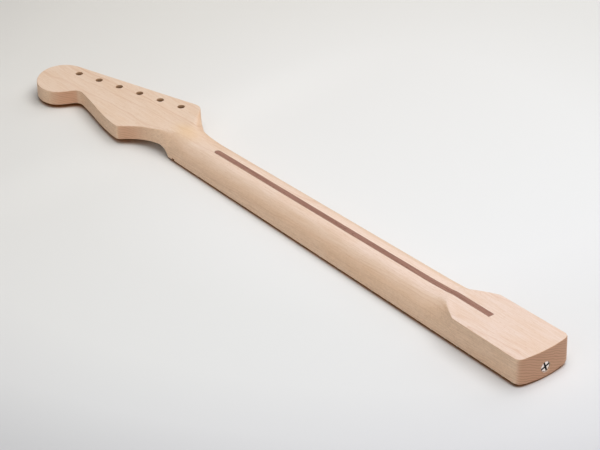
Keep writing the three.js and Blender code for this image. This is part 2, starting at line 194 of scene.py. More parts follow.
# Places that follow from the sizes above
NUT_REACH = SCALE_LENGTH * (1 - 2 ** (-FRET_COUNT / FRETS_PER_OCTAVE)) + LAST_FRET_TO_HEEL
NUT_X = -NUT_REACH
HEAD_TIP_X = NUT_X - HEAD_LENGTH
HEAD_FRONT_HEIGHT = HEAD_BACK_HEIGHT - HEAD_THICKNESS
SCOOP_X = NUT_X - SCOOP_FROM_NUT
CHANNEL_HEEL_X = -CHANNEL_HEEL_REACH
CHANNEL_HEAD_X = NUT_X + CHANNEL_NUT_GAP
HEAD_SLOPE = ROD_HEAD_FALL / ROD_HEAD_RUN
TOWARDS_HEAD = np.array((-ROD_HEAD_RUN, 0, -ROD_HEAD_FALL)) / math.hypot(ROD_HEAD_RUN, ROD_HEAD_FALL)
TOWARDS_NUT = np.array((-1, 0, 0))
ROD_END_X = -(TRUSS_NUT_RECESS + TRUSS_SLOT_DEPTH + TRUSS_NUT_WALL + ROD_GAP)
ROD_HOLE_RADIUS = ROD_RADIUS + ROD_GAP
ANCHOR_X = NUT_X - ANCHOR_FROM_NUT
NUT_FACE = np.array((-TRUSS_NUT_RECESS, 0, ROD_HEEL_HEIGHT))
WASHER_FACE = NUT_FACE + TOWARDS_NUT * (TRUSS_NUT_LENGTH + NUT_RUN_GAP)
BORE_FLOOR = WASHER_FACE + TOWARDS_NUT * WASHER_THICKNESS


def place(points):
    """Drawing millimetres to the frame's metres, whose origin is the middle of the heel's seat"""
    return (np.asarray(points, float) + (HEEL_SEAT_LENGTH / 2, 0, -HEEL_THICKNESS)) * MM


def linked(name, data):
    """New object in the scene"""
    thing = bpy.data.objects.new(name, data)
    bpy.context.scene.collection.objects.link(thing)
    return thing


# Camera

CAMERA_AZIMUTH = math.radians(51.62)
CAMERA_ELEVATION = math.radians(31.2)
CAMERA_ROLL = math.radians(-1.03)
CAMERA_DISTANCE = 1933.4
CAMERA_TARGET = (-305.06, -1.87, 0)
CAMERA_LENS = 132.47
CAMERA_SHIFT = (0.0016, -0.0027)


def make_camera():
    camera = linked("camera", bpy.data.cameras.new("camera"))
    back = Vector((
        math.sin(CAMERA_AZIMUTH) * math.cos(CAMERA_ELEVATION),
        -math.cos(CAMERA_AZIMUTH) * math.cos(CAMERA_ELEVATION),
        math.sin(CAMERA_ELEVATION),
    ))
    camera.location = Vector(place(CAMERA_TARGET)) + back * CAMERA_DISTANCE * MM
    turn = back.to_track_quat("Z", "Y").to_matrix() @ Matrix.Rotation(CAMERA_ROLL, 3, "Z")
    camera.rotation_euler = turn.to_euler()
    camera.data.lens = CAMERA_LENS
    camera.data.shift_x, camera.data.shift_y = CAMERA_SHIFT
    bpy.context.scene.camera = camera


# Node trees

def colour(code):
    """sRGB hex to linear RGBA"""
    channels = [int(code[i:i + 2], 16) / 255 for i in (1, 3, 5)]
    return (*[c / 12.92 if c <= 0.04045 else ((c + 0.055) / 1.055) ** 2.4 for c in channels], 1)


def feed(tree, node, values):
    """Gives a node's inputs their values, each a plain value, a socket or another node's first output"""
    for key, value in values.items():
        if isinstance(value, bpy.types.Node):
            value = next(socket for socket in value.outputs if socket.enabled)
        if isinstance(value, bpy.types.NodeSocket):
            tree.links.new(value, node.inputs[key])
        else:
            node.inputs[key].default_value = value


def add(tree, kind, values=None, **settings):
    """New node with its settings and inputs"""
    node = tree.nodes.new(kind)
    for name, value in settings.items():
        setattr(node, name, value)
    feed(tree, node, values or {})
    return node


# Outer form of the neck

def mix(a, b, share):
    return a + (b - a) * share


def smooth(value, low, high):
    share = np.clip((np.asarray(value, float) - low) / (high - low), 0, 1)
    return share * share * (3 - 2 * share)


def board_height(y):
    return BOARD_RADIUS - np.sqrt(BOARD_RADIUS ** 2 - np.asarray(y, float) ** 2)


def fret_x(fret):
    return NUT_X + SCALE_LENGTH * (1 - 2 ** (-fret / FRETS_PER_OCTAVE))


def taper_half(x):
    return mix(HEEL_WIDTH, NUT_WIDTH, -x / NUT_REACH) / 2


# Heel end in plan: a large arc that meets two rounded corners
CORNER_INNER = HEEL_END_RADIUS - HEEL_CORNER_RADIUS
CORNER_Y = taper_half(-HEEL_CORNER_RADIUS) - HEEL_CORNER_RADIUS
CORNER_X = math.sqrt(CORNER_INNER ** 2 - CORNER_Y ** 2) - HEEL_END_RADIUS
HEEL_ARC_STEPS = 80
HEEL_CORNER_STEPS = 24


def heel_outline():
    """Heel end from the treble side to the bass side, as two corner arcs and the large arc between them"""
    meet = math.asin(CORNER_Y / CORNER_INNER)
    turns = np.linspace(meet, math.pi / 2, HEEL_CORNER_STEPS)
    bass_corner = np.stack([
        CORNER_X + HEEL_CORNER_RADIUS * np.cos(turns),
        CORNER_Y + HEEL_CORNER_RADIUS * np.sin(turns),
    ], 1)
    swing = np.linspace(-meet, meet, HEEL_ARC_STEPS)[1:-1]
    arc = np.stack([HEEL_END_RADIUS * (np.cos(swing) - 1), HEEL_END_RADIUS * np.sin(swing)], 1)
    treble_corner = bass_corner[::-1] * (1, -1)
    return np.concatenate([treble_corner, arc, bass_corner])


def curve_through(points, steps):
    """Centripetal Catmull-Rom curve through plan points"""
    points = np.asarray(points, float)
    points = np.concatenate([[2 * points[0] - points[1]], points, [2 * points[-1] - points[-2]]])
    pieces = []
    for a, b, c, d in zip(points, points[1:], points[2:], points[3:]):
        gap_ab, gap_bc, gap_cd = (math.sqrt(np.linalg.norm(q - p)) for p, q in ((a, b), (b, c), (c, d)))
        start = ((b - a) / gap_ab - (c - a) / (gap_ab + gap_bc) + (c - b) / gap_bc) * gap_bc
        end = ((c - b) / gap_bc - (d - b) / (gap_bc + gap_cd) + (d - c) / gap_cd) * gap_bc
        t = np.linspace(0, 1, steps, endpoint=False)[:, None]
        squared = (3 * (c - b) - 2 * start - end) * t ** 2
        cubed = (2 * (b - c) + start + end) * t ** 3
        pieces.append(b + start * t + squared + cubed)
    return np.concatenate([*pieces, points[-2:-1]])


def on_head(along, across):
    return NUT_X - along * HEAD_LENGTH, across * HEAD_WIDTH


HEAD_OUTLINE = curve_through([on_head(*shares) for shares in HEAD_OUTLINE_SHARES], HEAD_OUTLINE_STEPS)
HEAD_TIP = int(HEAD_OUTLINE[:, 0].argmin())
BASS_SIDE = HEAD_OUTLINE[HEAD_TIP::-1]
TREBLE_SIDE = HEAD_OUTLINE[HEAD_TIP:]


def edges(x):
    """Bass and treble edges of the plan outline, short of the heel's end"""
    x = np.asarray(x, float)
    half = taper_half(x)
    on_board = x > HEAD_OUTLINE[0, 0]
    bass = np.where(on_board, half, np.interp(x, *BASS_SIDE.T))
    treble = np.where(on_board, -half, np.interp(x, *TREBLE_SIDE.T))
    return bass, treble


def front_height(x, y):
    """Front face: fingerboard, ledge behind the nut, scoop and headstock face"""
    half = taper_half(x)
    board = board_height(np.clip(y, -half, half))
    offset = np.clip(x - SCOOP_X, 0, SCOOP_RADIUS)
    scoop = HEAD_FRONT_HEIGHT - SCOOP_RADIUS + np.sqrt(SCOOP_RADIUS ** 2 - offset ** 2)
    height = np.where(x - SCOOP_X >= SCOOP_RADIUS, board, np.maximum(board, scoop))
    return np.where(x <= SCOOP_X, HEAD_FRONT_HEIGHT, height)


def crown_height(x):
    """Height of the shaft's crown, which swells into the heel and ramps up to the headstock"""
    along = (x - fret_x(1)) / (fret_x(12) - fret_x(1))
    shaft = mix(FIRST_FRET_THICKNESS, TWELFTH_FRET_THICKNESS, along)
    at_heel = smooth(x, -HEEL_RAMP_END, -HEEL_RAMP_START)
    at_head = 1 - smooth(x, NUT_X - HEAD_RAMP_END, NUT_X + HEAD_RAMP_START)
    return mix(mix(shaft, HEEL_THICKNESS, at_heel), HEAD_BACK_HEIGHT, at_head)


def flat_share(x):
    """Share of the width that the flat back takes: all on the heel and the headstock, none on the shaft"""
    heel = np.clip((x + HEEL_FADE_LENGTH) / (HEEL_FADE_LENGTH - HEEL_FLAT_LENGTH), 0, 1)
    head = 1 - smooth(x, NUT_X - HEAD_FLAT_END, NUT_X + HEAD_FLAT_START)
    return np.minimum(np.maximum(heel ** HEEL_FADE_SHARE, head), FULL_WIDTH_SHARE)


def on_heel_half(x):
    return x > (fret_x(1) + fret_x(12)) / 2


def ceiling(x):
    return np.where(on_heel_half(x), HEEL_THICKNESS, HEAD_BACK_HEIGHT)


def crease_softness(x):
    at_heel = smooth(-x, HEEL_CREASE_START, HEEL_CREASE_END)
    at_head = smooth(x, NUT_X - HEAD_CREASE_START, NUT_X - HEAD_CREASE_END)
    heel = mix(CRISP_SOFTNESS, HEEL_CREASE_SOFTNESS, at_heel)
    head = mix(CRISP_SOFTNESS, HEAD_CREASE_SOFTNESS, at_head)
    return np.where(on_heel_half(x), heel, head)


def under(height, roof, softness):
    """Height kept under the roof and blended into it"""
    share = np.clip(0.5 + (roof - height) / (2 * softness), 0, 1)
    return mix(roof, height, share) - softness * share * (1 - share)


# Fineness of the neck's mesh
ACROSS_STEPS = 32
WALL_STEPS = 8
EASE_STEPS = 4
END_ROWS = 24
HEEL_END_ZONE = 22
TIP_END_ZONE = 30
SLOPE_STEP = 0.5
CORNER_LEAST_ANGLE = math.pi / 3
# How far the close rings reach past both ends of the heel's fade
FADE_LEAD = 4
FADE_TAIL = 2
# Stretches of straight rings: where each starts and how many it has, more where the plan or the back turns
RING_STRETCHES = (
    (-HEEL_END_ZONE, 14),
    (-HEEL_FLAT_LENGTH + FADE_LEAD, 64),
    (-HEEL_FADE_LENGTH - FADE_TAIL, 22),
    (-HEEL_RAMP_END, 60),
    (NUT_X + HEAD_RAMP_START, 28),
    (NUT_X - NUT_SLOT_WIDTH, 72),
    (SCOOP_X, 190),
)
LAST_RING_X = HEAD_TIP_X + TIP_END_ZONE

WALL_POINTS = 2 * EASE_STEPS + WALL_STEPS
RING_COUNT = 2 * (ACROSS_STEPS + 1) + 2 * WALL_POINTS
BOARD_BASS = ACROSS_STEPS
BACK_BASS = BOARD_BASS + WALL_POINTS + 1
BACK_TREBLE = BACK_BASS + ACROSS_STEPS


def join(x, y, z):
    return np.stack(np.broadcast_arrays(x, y, z), -1)


def rounded(a, corner, b):
    """Points from a to b round an eased corner"""
    t = np.linspace(0, 1, EASE_STEPS + 1)[:, None]
    return a[:, None] * (1 - t) ** 2 + 2 * corner[:, None] * t * (1 - t) + b[:, None] * t ** 2


def bulge(share):
    """Height of the carve's curve at a share of its half width, or the other way round"""
    return (1 - np.clip(share, 0, 1) ** CARVE_EXPONENT) ** (1 / CARVE_EXPONENT)


def front_ease(x):
    return mix(BOARD_EDGE_EASE, HEAD_EDGE_EASE, smooth(-x, NUT_REACH, NUT_REACH + SCOOP_FROM_NUT))


def wall_start(front):
    return np.minimum(front + BOARD_SIDE_HEIGHT, HEAD_FRONT_HEIGHT + HEAD_SIDE_HEIGHT)


def rings_of(x):
    """Cross-sections at the places x: front from treble to bass, bass wall, back, treble wall"""
    bass, treble = edges(x)
    middle, half = (bass + treble) / 2, (bass - treble) / 2
    roof, softness = ceiling(x), crease_softness(x)
    swell = (1 - flat_share(x) ** CARVE_EXPONENT) ** (-1 / CARVE_EXPONENT)
    least_share = math.cos(CORNER_LEAST_ANGLE) ** (2 / CARVE_EXPONENT)
    fronts, walls, backs, carves = [], [], [], []
    for which, side, edge in ((0, 1, bass), (1, -1, treble)):
        slope = (edges(x + SLOPE_STEP)[which] - edges(x - SLOPE_STEP)[which]) / (2 * SLOPE_STEP)
        inward = side * np.stack([slope, -np.ones_like(slope)], 1) / np.hypot(slope, 1)[:, None]
        front, ease = front_height(x, edge), front_ease(x)
        inner = np.stack([x, edge], 1) + inward * ease[:, None]
        inner = join(*inner.T, front_height(*inner.T))
        lower = rounded(inner, join(x, edge, front), join(x, edge, front + ease))
        start = wall_start(front)
        rise = (crown_height(x) - start) * swell
        share = np.maximum(bulge((roof - start) / rise), least_share)
        carve = start + rise * bulge(share)
        corner = join(x, middle + side * half * share, under(carve, roof, softness))
        top = (np.minimum(carve, roof) - BACK_EDGE_EASE - start) / rise
        turn = np.arcsin(top ** (CARVE_EXPONENT / 2))[:, None] * np.linspace(0, 1, WALL_STEPS + 1)
        out, up = (f(turn).T ** (2 / CARVE_EXPONENT) for f in (np.cos, np.sin))
        wall = join(x, middle + side * half * out, under(start + rise * up, roof, softness))
        wall = wall.transpose(1, 0, 2)
        back = corner[:, :2] + inward * BACK_EDGE_EASE
        height = start + rise * bulge(np.abs(back[:, 1] - middle) / half)
        back = join(*back.T, under(height, roof, softness))
        upper = rounded(wall[:, -1], corner, back)
        fronts.append(inner)
        walls.append(np.concatenate([lower[:, 1:], wall[:, :-1], upper[:, :-1]], 1))
        backs.append(back)
        carves.append((start[:, None], rise[:, None]))
    across = np.linspace(0, 1, ACROSS_STEPS + 1)[:, None]
    front = mix(fronts[1][:, None], fronts[0][:, None], across)
    front[..., 2] = front_height(front[..., 0], front[..., 1])
    back = mix(backs[0][:, None], backs[1][:, None], across)
    from_middle = back[..., 1] - middle[:, None]
    lift = bulge(np.abs(from_middle) / half[:, None])
    heights = [start + rise * lift for start, rise in carves]
    back[..., 2] = under(np.where(from_middle > 0, *heights), roof[:, None], softness[:, None])
    return np.concatenate([front, walls[0], back, walls[1][:, ::-1]], 1)


def upright_wall(line, lean, roof):
    """Front edge, wall and back edge over an outline given as plan points with their inward directions"""
    points, inward = line[:, :2], line[:, 2:]

    def inside(distance, height=None):
        plan = points + inward * distance
        return join(*plan.T, front_height(*plan.T) if height is None else height)

    front = inside(0)
    ease = front_ease(points[:, :1])
    start = wall_start(front[:, 2])
    top = roof - BACK_EDGE_EASE
    inner, back = inside(ease), inside(lean + BACK_EDGE_EASE, roof)
    lower = rounded(inner, front, inside(0, front[:, 2] + ease[:, 0]))
    upper = rounded(inside(lean, top), inside(lean, roof), back)
    shares = np.linspace(0, 1, WALL_STEPS + 1)[:-1]
    wall = np.stack([inside(lean * share, mix(start, top, share)) for share in shares], 1)
    return inner, np.concatenate([lower[:, 1:], wall, upper[:, :-1]], 1), back


def patch(treble, bass, far):
    """Rows of points between two sides, from the straight line across their starts to the far edge"""
    across = np.linspace(0, 1, ACROSS_STEPS + 1)[None, :, None]
    along = np.linspace(0, 1, END_ROWS + 1)[:, None, None]
    near = mix(treble[0], bass[0], across)
    flat = mix(near, mix(treble[-1], bass[-1], across), along)
    return mix(near, far[None], along) + mix(treble[:, None], bass[:, None], across) - flat


def resample(line, count):
    """Rows evenly spaced along a plan polyline whose first two columns are its points"""
    gaps = np.linalg.norm(np.diff(line[:, :2], axis=0), axis=1)
    length = np.concatenate([[0], np.cumsum(gaps)])
    at = np.linspace(0, length[-1], count)
    return np.stack([np.interp(at, length, column) for column in line.T], 1)


def end_rings(bass, treble, end, lean, roof):
    """Rings from a straight row to the curved end of the plan, and the wall that closes that end"""
    bass, treble = (upright_wall(resample(line, END_ROWS + 1), lean, roof) for line in (bass, treble))
    far = upright_wall(resample(end, ACROSS_STEPS + 1), lean, roof)
    front, back = (patch(treble[i], bass[i], far[i]) for i in (0, 2))
    front[..., 2] = front_height(front[..., 0], front[..., 1])
    rings = np.concatenate([front, bass[1], back[:, ::-1], treble[1][:, ::-1]], 1)
    return rings[1:], far[1].transpose(1, 0, 2)


def with_inward(line):
    """An outline that keeps the wood on its left, with its inward direction at every point"""
    along = np.gradient(line, axis=0)
    along /= np.linalg.norm(along, axis=1)[:, None]
    return np.column_stack([line, -along[:, 1], along[:, 0]])


def split_end(line):
    """An outline up one side, round an end and down the other, split where it turns past 45 degrees"""
    step = np.diff(line[:, :2], axis=0)
    steep = np.flatnonzero(np.abs(step[:, 1]) > np.abs(step[:, 0]))
    first = last = int(np.abs(line[:, 0] - line[:, 0].mean()).argmax())
    while first - 1 in steep:
        first -= 1
    while last in steep:
        last += 1
    return line[:first + 1], line[first:last + 1], line[last:]


def stations():
    """Places along the neck of the straight rings"""
    starts, counts = zip(*RING_STRETCHES)
    stops = (*starts[1:], LAST_RING_X)
    runs = [np.linspace(*stretch, endpoint=False) for stretch in zip(starts, stops, counts)]
    return np.concatenate([*runs, [LAST_RING_X]])


def neck_rings():
    """All rings from the heel's end to the tip, and the walls that close both ends"""
    places = stations()
    lean = (1 - FULL_WIDTH_SHARE) * taper_half(-HEEL_END_ZONE)
    half = taper_half(-HEEL_END_ZONE)
    heel = np.concatenate([[[-HEEL_END_ZONE, -half]], heel_outline(), [[-HEEL_END_ZONE, half]]])
    treble, end, bass = split_end(with_inward(heel))
    heel_rows, heel_wall = end_rings(bass[::-1], treble, end, lean, HEEL_THICKNESS)
    bass_edge, treble_edge = edges(places[-1])
    lean = (1 - FULL_WIDTH_SHARE) * (bass_edge - treble_edge) / 2
    tip = HEAD_OUTLINE[HEAD_OUTLINE[:, 0] < places[-1]]
    tip = np.concatenate([[[places[-1], bass_edge]], tip, [[places[-1], treble_edge]]])
    bass, end, treble = split_end(with_inward(tip))
    tip_rows, tip_wall = end_rings(bass, treble[::-1], end[::-1], lean, HEAD_BACK_HEIGHT)
    return np.concatenate([heel_rows[::-1], rings_of(places), tip_rows]), heel_wall, tip_wall


def new_object(name, vertices, faces):
    mesh = bpy.data.meshes.new(name)
    mesh.from_pydata([tuple(v) for v in vertices], [], [tuple(f) for f in faces])
    mesh.validate()
    return linked(name, mesh)


@contextmanager
def edited(mesh):
    """A mesh opened for editing and written back afterwards"""
    shell = bmesh.new()
    shell.from_mesh(mesh)
    yield shell
    shell.to_mesh(mesh)
    shell.free()


def neck_form(name):
    """Whole outer form of the neck with its edges eased, before any slot or hole is cut"""
    rings, heel_wall, tip_wall = neck_rings()
    count = len(rings)
    vertices = [rings.reshape(-1, 3)]
    ring_index = np.arange(count * RING_COUNT).reshape(count, RING_COUNT)
    faces = []
    for near, far in zip(ring_index, ring_index[1:]):
        faces += [(near[i], near[i - 1], far[i - 1], far[i]) for i in range(RING_COUNT)]
    total = count * RING_COUNT
    for loop, wall, outward in ((ring_index[0], heel_wall, True), (ring_index[-1], tip_wall, False)):
        grid = np.empty((WALL_POINTS + 2, ACROSS_STEPS + 1), int)
        grid[0] = loop[:ACROSS_STEPS + 1]
        grid[-1] = loop[BACK_BASS:BACK_TREBLE + 1][::-1]
        grid[1:-1, -1] = loop[BOARD_BASS + 1:BACK_BASS]
        grid[1:-1, 0] = loop[BACK_TREBLE + 1:][::-1]
        inner = wall[:, 1:-1]
        grid[1:-1, 1:-1] = total + np.arange(inner[..., 0].size).reshape(inner.shape[:2])
        vertices.append(inner.reshape(-1, 3))
        total += inner[..., 0].size
        for row in range(WALL_POINTS + 1):
            for i in range(ACROSS_STEPS):
                face = (grid[row, i], grid[row, i + 1], grid[row + 1, i + 1], grid[row + 1, i])
                faces.append(face if outward else face[::-1])
    form = new_object(name, place(np.concatenate(vertices)), faces)
    # Flat triangles, so that no cut leaves a bent face that folds over itself
    with edited(form.data) as shell:
        bmesh.ops.triangulate(shell, faces=shell.faces)
    return form


def apply_modifiers(piece):
    graph = bpy.context.evaluated_depsgraph_get()
    mesh = bpy.data.meshes.new_from_object(piece.evaluated_get(graph))
    piece.modifiers.clear()
    old = piece.data
    piece.data = mesh
    bpy.data.meshes.remove(old)
    mesh.name = piece.name
    return piece


# Pieces and cutters

# A fold is a face with more sides than this, whose area is under this and whose doubled points lie this close
FOLD_SIDES = 8
FOLD_AREA = 0.00001
FOLD_GAP = 0.0005
SHARP_ANGLE = math.radians(40)
DRILL_SIDES = 48


def close_folds(mesh):
    """Joins the doubled points of faces without area, which a cut can leave where two cutters meet"""
    least_area = FOLD_AREA * MM ** 2
    with edited(mesh) as shell:
        many_sided = [face for face in shell.faces if len(face.verts) > FOLD_SIDES]
        folds = [face for face in many_sided if face.calc_area() < least_area]
        points = list(dict.fromkeys(point for face in folds for point in face.verts))
        bmesh.ops.remove_doubles(shell, verts=points, dist=FOLD_GAP * MM)


def finish_mesh(piece, material):
    """One material all over, smooth faces, and crisp edges where the surface turns sharply"""
    mesh = piece.data
    close_folds(mesh)
    mesh.materials.clear()
    mesh.materials.append(material)
    mesh.polygons.foreach_set("material_index", [0] * len(mesh.polygons))
    mesh.shade_smooth()
    mesh.set_sharp_from_angle(angle=SHARP_ANGLE)
    weighted = piece.modifiers.new("even", "WEIGHTED_NORMAL")
    weighted.keep_sharp = True
    return apply_modifiers(piece)


def loft(name, rings, closed=False):
    """Closed skin over rings of equal point count, capped at both ends or joined end to start"""
    count = len(rings[0])
    faces = []
    pairs = list(zip(range(len(rings) - 1), range(1, len(rings))))
    if closed:
        pairs.append((len(rings) - 1, 0))
    else:
        last = (len(rings) - 1) * count
        faces.append(tuple(reversed(range(count))))
        faces.append(tuple(range(last, last + count)))
    for near, far in pairs:
        for i in range(count):
            j = (i + 1) % count
            faces.append((near * count + i, near * count + j, far * count + j, far * count + i))
    piece = new_object(name, place(np.concatenate(rings)), faces)
    with edited(piece.data) as shell:
        bmesh.ops.recalc_face_normals(shell, faces=shell.faces)
    return piece


def circle(centre, direction, radius, sides):
    """Ring of points round a direction that lies in the XZ plane"""
    direction = np.asarray(direction, float) / np.linalg.norm(direction)
    across = np.cross(direction, (0, 1, 0))
    across /= np.linalg.norm(across)
    other = np.cross(direction, across)
    turn = np.linspace(0, 2 * math.pi, sides, endpoint=False)[:, None]
    return np.asarray(centre, float) + radius * (np.cos(turn) * across + np.sin(turn) * other)


def turned(name, profile, start, direction, sides, closed=False):
    """Round piece from a profile of (radius, distance along) pairs"""
    direction = np.asarray(direction, float) / np.linalg.norm(direction)
    rings = [circle(start + direction * along, direction, radius, sides) for radius, along in profile]
    return loft(name, rings, closed)


def combine(piece, other, operation):
    """Cuts away what a piece shares with another, or keeps only that, and removes the other"""
    change = piece.modifiers.new("combine", "BOOLEAN")
    change.operation = operation
    change.solver = "MANIFOLD"
    change.object = other
    apply_modifiers(piece)
    bpy.data.objects.remove(other)


def cut(piece, *cutters):
    for cutter in cutters:
        combine(piece, cutter, "DIFFERENCE")


def copy_of(piece, name):
    twin = piece.copy()
    twin.data = piece.data.copy()
    twin.name = name
    twin.data.name = name
    bpy.context.scene.collection.objects.link(twin)
    return twin


# Geometry node trees

FRET_ARC_POINTS = 44
PLUG_SIDES = 40
PLUG_STRETCHES = 3


def new_tree(name, inputs):
    """Empty tree that takes and gives a mesh, with its named inputs"""
    tree = bpy.data.node_groups.new(name, "GeometryNodeTree")
    tree.interface.new_socket("Geometry", in_out="OUTPUT", socket_type="NodeSocketGeometry")
    tree.interface.new_socket("Geometry", in_out="INPUT", socket_type="NodeSocketGeometry")
    for label, kind in inputs:
        tree.interface.new_socket(label, in_out="INPUT", socket_type="NodeSocket" + kind)
    return tree, add(tree, "NodeGroupInput").outputs


def end_tree(tree, geometry, material):
    real = add(tree, "GeometryNodeRealizeInstances", {0: geometry})
    add(tree, "NodeGroupOutput", {0: add(tree, "GeometryNodeSetMaterial", {0: real, "Material": material})})


def run_tree(piece, tree, **values):
    """Gives a piece its shape from a tree and the named sizes, as a plain mesh"""
    modifier = piece.modifiers.new(tree.name, "NODES")
    modifier.node_group = tree
    sockets = {item.name: item.identifier for item in tree.interface.items_tree if item.in_out == "INPUT"}
    for label, value in values.items():
        modifier[sockets[label.replace("_", " ").title()]] = value
    apply_modifiers(piece)
    points = np.empty(len(piece.data.vertices) * 3)
    piece.data.vertices.foreach_get("co", points)
    piece.data.vertices.foreach_set("co", place(points.reshape(-1, 3)).ravel())
    piece.data.update()
    return piece


def fret_tree():
    """Bars across the board at every fret, swept along its arc from a profile drawn in X and Y"""
    tree, sizes = new_tree("fret_bars", [
        ("Scale Length", "Float"), ("Frets Per Octave", "Float"), ("Count", "Int"), ("Nut Reach", "Float"),
        ("Board Radius", "Float"), ("Heel Half Width", "Float"), ("Nut Half Width", "Float"),
        ("Bevel Length", "Float"), ("Bevel Share", "Float"), ("Material", "Material"),
    ])
    radius = sizes["Board Radius"]

    # A straight line for each fret, which knows its number and how far across each point lies
    number = add(tree, "ShaderNodeMath", {0: add(tree, "GeometryNodeInputIndex"), 1: 1.0}, operation="ADD")
    kept = add(tree, "GeometryNodeCaptureAttribute", {
        0: add(tree, "GeometryNodeMeshLine", {"Count": sizes["Count"]}),
    })
    kept.capture_items.new("FLOAT", "number")
    feed(tree, kept, {"number": number})
    line = add(tree, "GeometryNodeMeshLine", {
        "Count": FRET_ARC_POINTS, "Start Location": (0, -1, 0), "Offset": (0, 2 / (FRET_ARC_POINTS - 1), 0),
    })
    lines = add(tree, "GeometryNodeRealizeInstances", {
        0: add(tree, "GeometryNodeInstanceOnPoints", {"Points": kept, "Instance": line}),
    })
    side = add(tree, "ShaderNodeSeparateXYZ", {0: add(tree, "GeometryNodeInputPosition")}).outputs["Y"]
    quarter = add(tree, "ShaderNodeMath", {0: side, 1: math.pi / 2}, operation="MULTIPLY")
    across = add(tree, "GeometryNodeCaptureAttribute", {0: lines})
    across.capture_items.new("FLOAT", "across")
    feed(tree, across, {"across": add(tree, "ShaderNodeMath", {0: quarter}, operation="SINE")})

    # Each line's place along the neck and half length, from the rule of the frets and the taper
    octaves = add(tree, "ShaderNodeMath", {
        0: kept.outputs[1], 1: sizes["Frets Per Octave"],
    }, operation="DIVIDE")
    bridge = add(tree, "ShaderNodeMath", {
        0: sizes["Scale Length"], 1: sizes["Nut Reach"],
    }, operation="SUBTRACT")
    nut = add(tree, "ShaderNodeMath", {0: sizes["Nut Reach"], 1: -1.0}, operation="MULTIPLY")
    x = add(tree, "ShaderNodeMapRange", {
        "Value": add(tree, "ShaderNodeMath", {0: 0.5, 1: octaves}, operation="POWER"),
        "From Min": 1.0, "From Max": 0.0, "To Min": nut, "To Max": bridge,
    }, clamp=False)
    half = add(tree, "ShaderNodeMapRange", {
        "Value": x, "From Min": nut, "From Max": 0.0,
        "To Min": sizes["Nut Half Width"], "To Max": sizes["Heel Half Width"],
    }, clamp=False)

    # Bent along the board's arc and given the profile
    sweep = add(tree, "ShaderNodeMath", {
        0: add(tree, "ShaderNodeMath", {0: half, 1: radius}, operation="DIVIDE"),
    }, operation="ARCSINE")
    centre = add(tree, "ShaderNodeCombineXYZ", {2: radius})
    spoke = add(tree, "ShaderNodeCombineXYZ", {
        2: add(tree, "ShaderNodeMath", {0: radius, 1: -1.0}, operation="MULTIPLY"),
    })
    turned_spoke = add(tree, "ShaderNodeVectorRotate", {
        "Vector": spoke,
        "Angle": add(tree, "ShaderNodeMath", {0: across.outputs[1], 1: sweep}, operation="MULTIPLY"),
    }, rotation_type="X_AXIS")
    bent = add(tree, "GeometryNodeSetPosition", {
        0: across, "Offset": add(tree, "ShaderNodeCombineXYZ", {0: x}),
        "Position": add(tree, "ShaderNodeVectorMath", {0: turned_spoke, 1: centre}, operation="ADD"),
    })
    paths = add(tree, "GeometryNodeSetCurveNormal", {
        0: add(tree, "GeometryNodeMeshToCurve", {0: bent}),
    }, mode="Z_UP")
    swept = add(tree, "GeometryNodeCurveToMesh", {
        0: paths, "Fill Caps": True,
        "Profile Curve": add(tree, "GeometryNodeMeshToCurve", {0: sizes["Geometry"]}),
    })

    # Lowered towards the board at both ends
    beyond = add(tree, "ShaderNodeVectorMath", {
        0: add(tree, "GeometryNodeInputPosition"), 1: centre,
    }, operation="SUBTRACT")
    outward = add(tree, "ShaderNodeVectorMath", {0: beyond, 1: (0, 1, 1)}, operation="MULTIPLY")
    distance = add(tree, "ShaderNodeVectorMath", {0: outward}, operation="LENGTH").outputs["Value"]
    proud = add(tree, "ShaderNodeMath", {
        0: add(tree, "ShaderNodeMath", {0: distance, 1: radius}, operation="SUBTRACT"), 1: 0.0,
    }, operation="MAXIMUM")
    spread = add(tree, "ShaderNodeMath", {
        0: 1.0, 1: add(tree, "ShaderNodeMath", {0: across.outputs[1]}, operation="ABSOLUTE"),
    }, operation="SUBTRACT")
    lowered = add(tree, "ShaderNodeMapRange", {
        "Value": add(tree, "ShaderNodeMath", {0: spread, 1: half}, operation="MULTIPLY"),
        "From Min": sizes["Bevel Length"], "From Max": 0.0, "To Min": 0.0,
        "To Max": add(tree, "ShaderNodeMath", {0: sizes["Bevel Share"], 1: 1.0}, operation="SUBTRACT"),
    }, interpolation_type="SMOOTHSTEP")
    move = add(tree, "ShaderNodeVectorMath", {
        0: add(tree, "ShaderNodeVectorMath", {0: outward}, operation="NORMALIZE"),
        "Scale": add(tree, "ShaderNodeMath", {0: proud, 1: lowered}, operation="MULTIPLY"),
    }, operation="SCALE")
    end_tree(tree, add(tree, "GeometryNodeSetPosition", {0: swept, "Offset": move}), sizes["Material"])
    return tree


